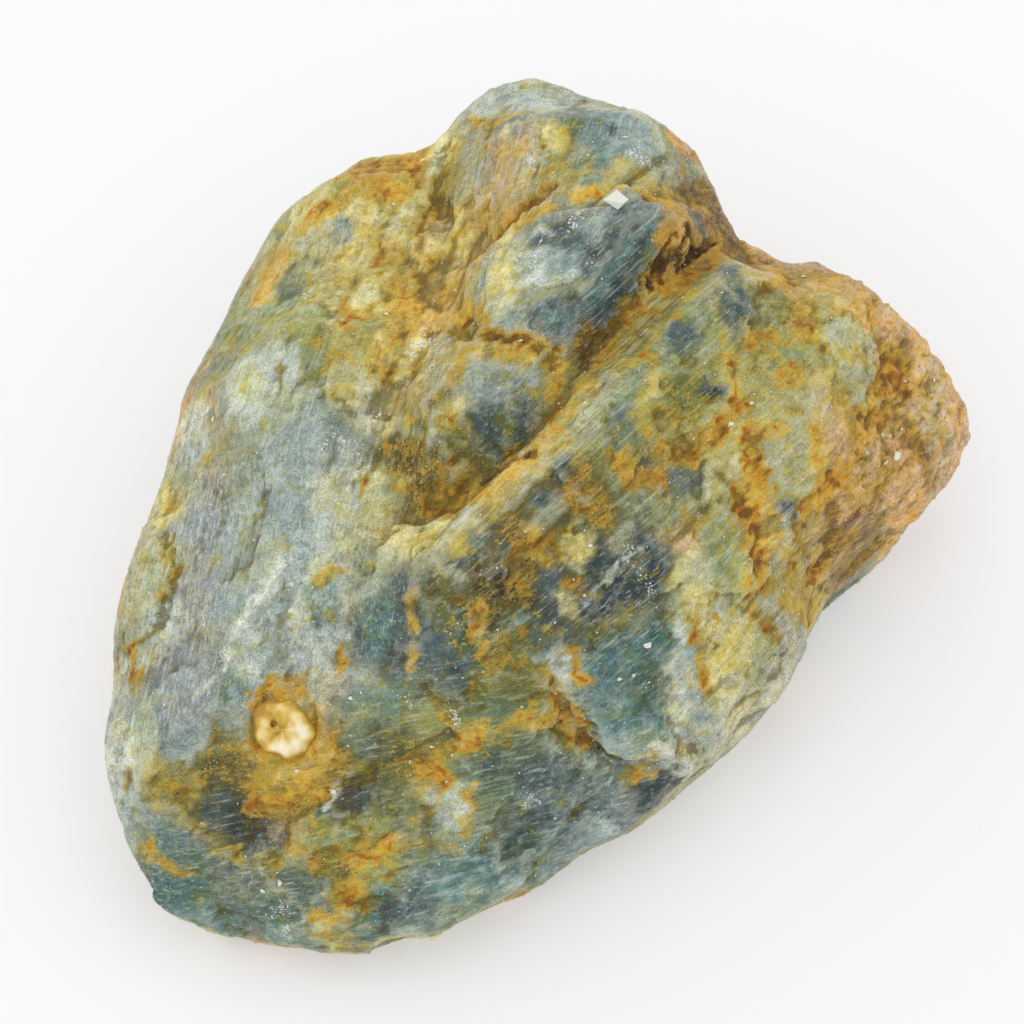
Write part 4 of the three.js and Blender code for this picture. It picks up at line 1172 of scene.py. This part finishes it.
# %% Warm and cool drifts, veils, and silky fibres with a painted sheen
pattern["drift"] = varied(pattern["drift"], {"small_grain": 0.16})  # whole grains are warm or cool
body = tinted(body, [  # (pattern, start, end, strength, colour, blend)
    ("drift", 0.48, 0.66, 0.65, "#f0e6a2", "MULTIPLY"),
    ("drift", 0.5, 0.36, 0.6, "#dbeef4", "MULTIPLY"),
    ("mottle", 0.54, 0.72, 0.3, "#c4c8bf", "MIX"),  # milky veils
    # pale streaks along the fibres: the silky fibres, with a painted sheen on them
    ("fibre", 0.53, 0.62, 0.5, "#ccd1cb", "MIX"),
    ("fleck", 0.5, 0.66, 0.45, "#e9d98a", "MULTIPLY"),
])

# %% [markdown]
# Iron stain comes in two strengths. A thin one is a glaze, and multiplies the colour under it. A
# strong one is a film of ochre that hides most of it, and its edge is broken up by the patterns. The
# water also ran through cracks that have healed, so thin veins of it follow the cells of a Voronoi net.

# %% Iron stain
VEINS = [(4.2, 0.3), (1.9, 0.2)]  # (cell, half width) of the healed cracks, in mm
stain = pattern["stain"]
stretches = add(tree, "ShaderNodeMapRange", {0: pattern["cloud"], 1: 0.46, 2: 0.58}).outputs[0]
for size, width in VEINS:
    edge = add(tree, "ShaderNodeTexVoronoi", {"Vector": bent, "Scale": 1 / size},
               feature="DISTANCE_TO_EDGE").outputs[0]
    vein = add(tree, "ShaderNodeMapRange", {
        0: edge, 1: width / size, 2: 0.2 * width / size, 4: 0.2}).outputs[0]
    stain = add(tree, "ShaderNodeMath", {0: vein, 1: stretches, 2: stain},
                operation="MULTIPLY_ADD").outputs[0]
stain = varied(stain, {"fibre": 1.0, "mottle": 0.5, "cloud": 0.5, "fleck": 0.5, "speck": 0.8,
                       "hollow": 0.3, "seam": 0.12})
glaze = add(tree, "ShaderNodeValToRGB", {0: stain}, stops=[
    (0.2, "#ffffff"), (0.44, "#f1eab0"), (0.64, "#e8d672"), (0.86, "#dab448")]).outputs[0]
body = add(tree, "ShaderNodeMix", {0: 0.9, 6: body, 7: glaze},
           data_type="RGBA", blend_type="MULTIPLY").outputs[2]
ochre = add(tree, "ShaderNodeValToRGB", {0: stain}, stops=[
    (0.5, "#c0b65a"), (0.66, "#caab44"), (0.8, "#c2952f"), (0.92, "#b07c25"), (1.0, "#935f1c")]).outputs[0]
dim = add(tree, "ShaderNodeMapRange", {0: shade, 1: 0.5, 2: 1.5, 3: 0.65, 4: 1.35}).outputs[0]
ochre = add(tree, "ShaderNodeVectorMath", {0: ochre, "Scale": dim}, operation="SCALE").outputs[0]
film = add(tree, "ShaderNodeMapRange", {0: stain, 1: 0.45, 2: 0.94, 4: 0.9}).outputs[0]
body = add(tree, "ShaderNodeMix", {0: film, 6: body, 7: ochre}, data_type="RGBA").outputs[2]

# %% [markdown]
# Last come the things that lie on top. Wear keeps the edges pale, and painted shade darkens the
# deepest hollows, the fissure and a seam under the lower block. White specks are partly tiny faces
# of broken crystal and partly painted glints: each is one cell of a fine net, and more of them are
# lit where flakes and glints were painted on.

# %% Worn edges, painted shade in hollows and crevices, and glitter with painted glints
# painted shade in the crevices, mottled so that it is uneven
pattern["crevice_shade_mottled"] = varied(pattern["soot"], {"mottle": 0.9})
# painted glints: a few cells of the fine net turn near white, more where the glitter is high
pattern["spark"] = add(tree, "ShaderNodeMath", {0: pattern["glitter"], 1: 0.42, 2: cells["spark"][1]},
                       operation="MULTIPLY_ADD").outputs[0]
body = tinted(body, [
    ("hollow", 0.2, 0.0, 0.2, "#c8c7b2", "MIX"),
    # painted shade: the deepest hollows darken towards dark brown
    ("hollow", 0.58, 1.0, 0.6, "#4d3f1b", "MIX"),
    # painted shade along the fissure and under the lower block
    ("crevice_shade_mottled", 0.35, 0.85, 0.88, "#3d240d", "MIX"),
    # white specks, partly real flecks of the mineral and partly painted glints
    ("spark", 1.0, 1.2, 0.8, "#e2e5e0", "MIX"),
])

# %% Shine and fine bumps
rough = add(tree, "ShaderNodeMapRange", {0: stain, 1: 0.3, 2: 0.75, 3: 0.28, 4: 0.68}).outputs[0]
rough = varied(rough, {"speck": 0.5})
height = varied(0.0, {"fibre": 0.5, "speck": 0.35, "mottle": 0.5, "crumb": 0.3})
bump = add(tree, "ShaderNodeBump", {"Strength": 0.6, "Distance": 0.4 * MM, "Height": height}).outputs[0]
shader = add(tree, "ShaderNodeBsdfPrincipled", {
    "Base Color": body, "Roughness": rough, "Normal": bump, "IOR": 1.434, "Specular IOR Level": 0.34,
})
add(tree, "ShaderNodeOutputMaterial", {"Surface": shader.outputs[0]})
skin.materials.clear()
skin.materials.append(fluorite)
print("the fluorite material has", len(tree.nodes), "nodes")

# %% Put the stone in place of the solid
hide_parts("fluorite")
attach(stone, "root")
bpy.context.view_layer.update()


def seat(x, y):
    """The stone's surface and its normal under a place in plan, in millimetres."""
    _, spot, normal, _ = stone.ray_cast(Vector((x, y, 60)) * MM, Vector((0, 0, -1)))
    return spot / MM, normal


def finish_piece(name, mesh, material=None):
    """Makes a mesh in metres a piece of its own that rides with the stone."""
    if material:
        mesh.materials.append(material)
    piece = bpy.data.objects.new(name, mesh)
    bpy.context.scene.collection.objects.link(piece)
    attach(piece, "root")
    print(name, "has", len(mesh.polygons), "faces")
    return piece


# %% [markdown]
# ## The nodule
#
# A button of cream fluorite grew on the low end: a lobed ring nearly five millimetres across, with a
# yellow hollow in its middle and one dark pinhole. It is laid out ring by ring round its middle, with
# the lobes and the pinhole worked into the heights, and it sits on the seat that was pressed for it.

# %% Shape the nodule
RING_CORNERS = 96
RING_STEPS = 26
RING_REACH = 2.7  # past the button's edge, so that its skirt is buried
PIN = (-0.75, 0.3)
PIN_RADIUS = 0.2


def lobed(mean, waves):
    """A length that swings about its mean round the button, by (share, lobes, phase) waves."""
    return lambda turn: mean * (1 + sum(s * math.cos(n * turn + phase) for s, n, phase in waves))


lip_at = lobed(1.45, [(0.08, 3, 1), (0.05, 7, 2)])
rim_at = lobed(2.35, [(0.07, 2, 1), (0.05, 5, 0), (0.03, 9, 1)])
tall_at = lobed(0.75, [(0.4, 1, 0.8), (0.12, 4, 0), (0.08, 9, 0)])


def nodule_height(x, y):
    """The nodule's height over its seat, and how dark its pinhole makes it."""
    turn = math.atan2(y, x)
    reach = math.hypot(x, y)
    lip, tall = lip_at(turn), tall_at(turn)
    if reach < lip:
        height = tall * (0.45 + 0.55 * (reach / lip) ** 2)
    else:
        out = (reach - lip) / (rim_at(turn) - lip)
        height = tall * (1 - min(out, 1.4) ** 2.2) - 0.3 * max(out - 0.8, 0)
    pin = math.exp(-((x - PIN[0]) ** 2 + (y - PIN[1]) ** 2) / PIN_RADIUS**2)
    return height - 0.5 * pin, pin


centre, up = seat(*NODULE)
side = Vector((1, 0, 0)).cross(up).normalized()
ahead = up.cross(side)
button = bmesh.new()
rings, pins, rises = [], [], []
for step in range(1, RING_STEPS + 1):
    reach = RING_REACH * step / RING_STEPS
    ring = []
    for k in range(RING_CORNERS):
        turn = 2 * math.pi * k / RING_CORNERS
        x, y = -reach * math.cos(turn), reach * math.sin(turn)
        height, pin = nodule_height(x, y)
        ring.append(button.verts.new((centre + ahead * x - side * y + up * height) * MM))
        pins.append(pin)
        rises.append(height)
    rings.append(ring)
middle_height, _ = nodule_height(0, 0)
top = button.verts.new((centre + up * middle_height) * MM)
buried = button.verts.new((centre - up * 1.2) * MM)
for inner, outer in zip(rings, rings[1:]):
    for k in range(RING_CORNERS):
        button.faces.new((inner[k - 1], inner[k], outer[k], outer[k - 1]))
for k in range(RING_CORNERS):
    button.faces.new((top, rings[0][k], rings[0][k - 1]))
    button.faces.new((buried, rings[-1][k - 1], rings[-1][k]))
bmesh.ops.recalc_face_normals(button, faces=button.faces)
nodule_mesh = bpy.data.meshes.new("nodule")
button.to_mesh(nodule_mesh)
button.free()
nodule_mesh.shade_smooth()
places = read_vectors(nodule_mesh, "co") / MM
places += (0.07 * noise(places, 0.8, 71, 2))[:, None] * read_vectors(nodule_mesh, "normal")
write_points(nodule_mesh, places)
for name, values, rest in [("pin", pins, 0.0), ("rise", rises, middle_height)]:
    layer = nodule_mesh.attributes.new(name, "FLOAT", "POINT")
    layer.data.foreach_set("value", np.array(values + [rest, 0.0], np.float32))

# %% [markdown]
# Botryoidal means grown as a cluster of smooth round lobes. It has a waxier shine than a cleaved
# face, more light goes into it, and it turns from yellow in its hollow to cream on its ring.

# %% Cream fluorite for the nodule
cream, tree = new_material("cream botryoidal fluorite")
place = add(tree, "ShaderNodeTexCoord").outputs["Object"]
mottle = add(tree, "ShaderNodeTexNoise", {
    "Vector": place, "Scale": 1 / (0.9 * MM), "Detail": 5}).outputs["Fac"]
rise = add(tree, "ShaderNodeAttribute", attribute_name="rise").outputs["Fac"]
pin = add(tree, "ShaderNodeAttribute", attribute_name="pin").outputs["Fac"]
centred = add(tree, "ShaderNodeMath", {0: mottle, 1: 0.5}, operation="SUBTRACT").outputs[0]
rise = add(tree, "ShaderNodeMath", {0: centred, 1: 1.1, 2: rise}, operation="MULTIPLY_ADD").outputs[0]
body = add(tree, "ShaderNodeValToRGB", {0: rise}, stops=[
    (0.1, "#ae8830"), (0.4, "#d0ac4a"), (0.62, "#e2c97e"), (0.82, "#e9daac"), (1.0, "#efe5ca")]).outputs[0]
# the pinhole is painted near black: painted shade in the hole
body = add(tree, "ShaderNodeMix", {0: pin, 6: body, 7: linear("#3a1f14")}, data_type="RGBA").outputs[2]
bump = add(tree, "ShaderNodeBump", {"Strength": 0.3, "Distance": 0.2 * MM, "Height": mottle}).outputs[0]
shader = add(tree, "ShaderNodeBsdfPrincipled", {
    "Base Color": body, "Roughness": 0.42, "Normal": bump, "IOR": 1.434,
    "Subsurface Weight": 0.35, "Subsurface Radius": (1.0, 0.85, 0.6), "Subsurface Scale": 0.6 * MM,
})
add(tree, "ShaderNodeOutputMaterial", {"Surface": shader.outputs[0]})
finish_piece("nodule", nodule_mesh, cream)

# %% [markdown]
# ## Loose chips
#
# A few splinters of white fluorite have stuck where they fell, a third of their size out of the
# surface. Each is the hull of a handful of random points, which gives flat faces and sharp corners
# as a fresh break does.

# %% Break the chips
CHIPS = [  # (x, y, size), in millimetres
    (5.4, 14.5, 1.5), (-12.8, 10.7, 0.3), (-15.3, 8.3, 0.24), (-8.2, -7.9, 0.42), (3.0, -10.7, 0.26),
    (27.9, 2.6, 0.62), (27.0, 1.7, 0.5), (20.5, 14.6, 0.32), (-20.6, -31.4, 0.42), (-21.9, -31.8, 0.3),
    (-16.4, -25.8, 0.34), (7.4, -16.0, 0.46), (-26.4, 3.4, 0.36), (6.2, 23.2, 0.34),
    (-12.5, 22.3, 0.24), (7.6, -18.2, 0.2), (6.4, -17.9, 0.24), (5.3, -18.4, 0.26), (13.9, -0.4, 0.4),
    (-10.2, 27.6, 0.3), (-2.2, 4.5, 0.22), (-19.2, -24.6, 0.24), (31.4, 9.4, 0.24), (28.8, 8.2, 0.2),
    (-8.9, -23.0, 0.26), (-15.0, -20.6, 0.28), (2.6, -13.6, 0.26), (15.6, 1.2, 0.24),
]
HULL_POINTS = 9
draw = random.Random(4)
chips = bmesh.new()
for x, y, size in CHIPS:
    spot, normal = seat(x, y)
    turned = normal.to_track_quat("Z", "Y").to_matrix()
    cloud = []
    for _ in range(HULL_POINTS):
        corner = Vector([draw.gauss(0, 1) for _ in range(3)]).normalized() * draw.uniform(0.75, 1)
        corner = Vector((corner.x, corner.y * 0.75, corner.z * 0.5 + 0.1))
        cloud.append(chips.verts.new((spot + (0.3 * normal + turned @ corner) * size) * MM))
    hull = bmesh.ops.convex_hull(chips, input=cloud)
    bmesh.ops.delete(chips, geom=[v for v in hull["geom_interior"] if v.is_valid], context="VERTS")
bmesh.ops.recalc_face_normals(chips, faces=chips.faces)
chip_mesh = bpy.data.meshes.new("chips")
chips.to_mesh(chip_mesh)
chips.free()

fresh, tree = new_material("freshly broken white fluorite")
shader = add(tree, "ShaderNodeBsdfPrincipled", {
    "Base Color": linear("#dcdcd2"), "Roughness": 0.3, "IOR": 1.434,
    "Subsurface Weight": 0.4, "Subsurface Radius": (1.0, 1.0, 0.9), "Subsurface Scale": 0.3 * MM,
})
add(tree, "ShaderNodeOutputMaterial", {"Surface": shader.outputs[0]})
finish_piece("chips", chip_mesh, fresh)

# %% [markdown]
# ## Flakes and crumbs by Geometry Nodes
#
# Thousands of flakes no larger than a grain of salt catch the light along the edges of the cleavage,
# and crumbs of ochre lie in the stained hollows. One tree strews both. It takes the stone's mesh,
# spreads points where an attribute is high, and puts a small broken solid on each, turned and scaled
# at random.

# %% A tree that strews small solids
LEAN = 0.6  # how far a solid may lean from the surface's normal, in radians
RARITY = 3.0  # large solids are rare: a chance from 0 to 1 is raised to this power


def strewing_tree(name, shape, material):
    """A tree that strews copies of a small solid over a mesh where a named attribute is high."""
    tree = bpy.data.node_groups.new(name, "GeometryNodeTree")
    for label, kind in [
        ("Geometry", "Geometry"), ("Where", "String"), ("Per square mm", "Float"),
        ("Smallest", "Float"), ("Largest", "Float"), ("Flatness", "Float"), ("Seed", "Int"),
    ]:
        tree.interface.new_socket(label, in_out="INPUT", socket_type="NodeSocket" + kind)
    tree.interface.new_socket("Geometry", in_out="OUTPUT", socket_type="NodeSocketGeometry")
    given = add(tree, "NodeGroupInput").outputs
    solid = add(tree, shape[0], shape[1]).outputs[0]
    share = add(tree, "GeometryNodeInputNamedAttribute", {"Name": given["Where"]},
                data_type="FLOAT").outputs[0]
    per_metre = add(tree, "ShaderNodeMath", {0: given["Per square mm"], 1: 1 / MM**2},
                    operation="MULTIPLY").outputs[0]
    density = add(tree, "ShaderNodeMath", {0: share, 1: per_metre}, operation="MULTIPLY").outputs[0]
    spread = add(tree, "GeometryNodeDistributePointsOnFaces", {
        "Mesh": given["Geometry"], "Density": density, "Seed": given["Seed"]})
    lean = add(tree, "FunctionNodeRandomValue", {
        0: (-LEAN, -LEAN, 0), 1: (LEAN, LEAN, 2 * math.pi), "Seed": given["Seed"]},
        data_type="FLOAT_VECTOR").outputs[0]
    lean = add(tree, "FunctionNodeEulerToRotation", {0: lean}).outputs[0]
    turned = add(tree, "FunctionNodeRotateRotation", {0: spread.outputs["Rotation"], 1: lean},
                 rotation_space="LOCAL").outputs[0]
    chance = add(tree, "FunctionNodeRandomValue", {2: 0.0, 3: 1.0, "Seed": 7}, data_type="FLOAT").outputs[1]
    rarely = add(tree, "ShaderNodeMath", {0: chance, 1: RARITY}, operation="POWER").outputs[0]
    size = add(tree, "ShaderNodeMapRange", {0: rarely, 3: given["Smallest"], 4: given["Largest"]}).outputs[0]
    stretch = add(tree, "FunctionNodeRandomValue", {
        0: (0.6, 0.5, 0.6), 1: (1.4, 1.0, 1.2), "Seed": 9}, data_type="FLOAT_VECTOR").outputs[0]
    thin = add(tree, "ShaderNodeCombineXYZ", {0: 1.0, 1: 1.0, 2: given["Flatness"]}).outputs[0]
    stretch = add(tree, "ShaderNodeVectorMath", {0: stretch, 1: thin}, operation="MULTIPLY").outputs[0]
    scale = add(tree, "ShaderNodeVectorMath", {0: stretch, "Scale": size}, operation="SCALE").outputs[0]
    copies = add(tree, "GeometryNodeInstanceOnPoints", {
        "Points": spread.outputs["Points"], "Instance": solid, "Rotation": turned, "Scale": scale}).outputs[0]
    real = add(tree, "GeometryNodeRealizeInstances", {0: copies}).outputs[0]
    done = add(tree, "GeometryNodeSetMaterial", {0: real, "Material": material}).outputs[0]
    add(tree, "NodeGroupOutput", {0: done})
    return tree


def strew(name, tree, values):
    """The plain mesh that a strewing tree makes over the stone, as a piece of its own."""
    carrier = bpy.data.objects.new(name, skin)
    bpy.context.scene.collection.objects.link(carrier)
    modifier = carrier.modifiers.new("strew", "NODES")
    modifier.node_group = tree
    for item in tree.interface.items_tree:
        if item.in_out == "INPUT" and item.name in values:
            modifier[item.identifier] = values[item.name]
    mesh = evaluated_mesh(carrier)
    bpy.data.objects.remove(carrier)
    return finish_piece(name, mesh)


# %% Strew the flakes
FLAKE = ("GeometryNodeMeshCone", {"Vertices": 5, "Radius Top": 0.6, "Radius Bottom": 1.0, "Depth": 1.0})
strew("cleavage_flakes", strewing_tree("flakes", FLAKE, fresh), {
    "Where": "glitter", "Per square mm": 6.5, "Smallest": 0.03 * MM, "Largest": 0.14 * MM,
    "Flatness": 0.45, "Seed": 11})

# %% Iron ochre crumbs
ochre_grit, tree = new_material("iron ochre grit")
place = add(tree, "ShaderNodeTexCoord").outputs["Object"]
mottle = add(tree, "ShaderNodeTexNoise", {
    "Vector": place, "Scale": 1 / (0.6 * MM), "Detail": 3}).outputs["Fac"]
body = add(tree, "ShaderNodeValToRGB", {0: mottle}, stops=[
    (0.35, "#8a5a1c"), (0.5, "#b98a34"), (0.65, "#cdb070")]).outputs[0]
shader = add(tree, "ShaderNodeBsdfPrincipled", {"Base Color": body, "Roughness": 0.8})
add(tree, "ShaderNodeOutputMaterial", {"Surface": shader.outputs[0]})
CRUMB = ("GeometryNodeMeshIcoSphere", {"Radius": 1.0, "Subdivisions": 1})
strew("ochre_crumbs", strewing_tree("crumbs", CRUMB, ochre_grit), {
    "Where": "grit", "Per square mm": 2.0, "Smallest": 0.04 * MM, "Largest": 0.13 * MM,
    "Flatness": 0.8, "Seed": 12})

# %% [markdown]
# ## Floor and light
#
# The stone lies on a sheet of white acrylic that is faintly lit from below, so that the sheet stays
# nearly white. One broad light from the upper left and a bright, even room give soft shadows that are
# darkest right under the edges.

# %% Floor, lights and world
HALF = 1.5  # metres from the stone to an edge of the sheet
corners = [(-HALF, -HALF, 0), (HALF, -HALF, 0), (HALF, HALF, 0), (-HALF, HALF, 0)]
sheet = bpy.data.meshes.new("floor")
sheet.from_pydata(corners, [], [(0, 1, 2, 3)])
floor = bpy.data.objects.new("floor", sheet)
bpy.context.scene.collection.objects.link(floor)
acrylic, tree = new_material("white acrylic sheet lit from below")
shader = add(tree, "ShaderNodeBsdfPrincipled", {
    "Base Color": linear("#ccccce"), "Roughness": 0.9,
    "Emission Color": linear("#ffffff"), "Emission Strength": 0.3})
add(tree, "ShaderNodeOutputMaterial", {"Surface": shader.outputs[0]})
sheet.materials.append(acrylic)


def add_lamp(name, where, size, power):
    """A square area light that faces the stone, with its place and size in metres."""
    lamp = bpy.data.lights.new(name, "AREA")
    lamp.size = size
    lamp.energy = power
    holder = bpy.data.objects.new(name, lamp)
    holder.location = where
    holder.rotation_euler = (Vector((0, 0, 0.012)) - Vector(where)).to_track_quat("-Z", "Y").to_euler()
    bpy.context.scene.collection.objects.link(holder)


add_lamp("window", (-0.3, 0.25, 0.6), 1.0, 1.1)
world = bpy.data.worlds.new("room")
world.use_nodes = True
background = world.node_tree.nodes["Background"]
background.inputs["Color"].default_value = linear("#ffffff")
background.inputs["Strength"].default_value = 0.99
bpy.context.scene.world = world
bpy.context.scene.view_settings.view_transform = "Standard"
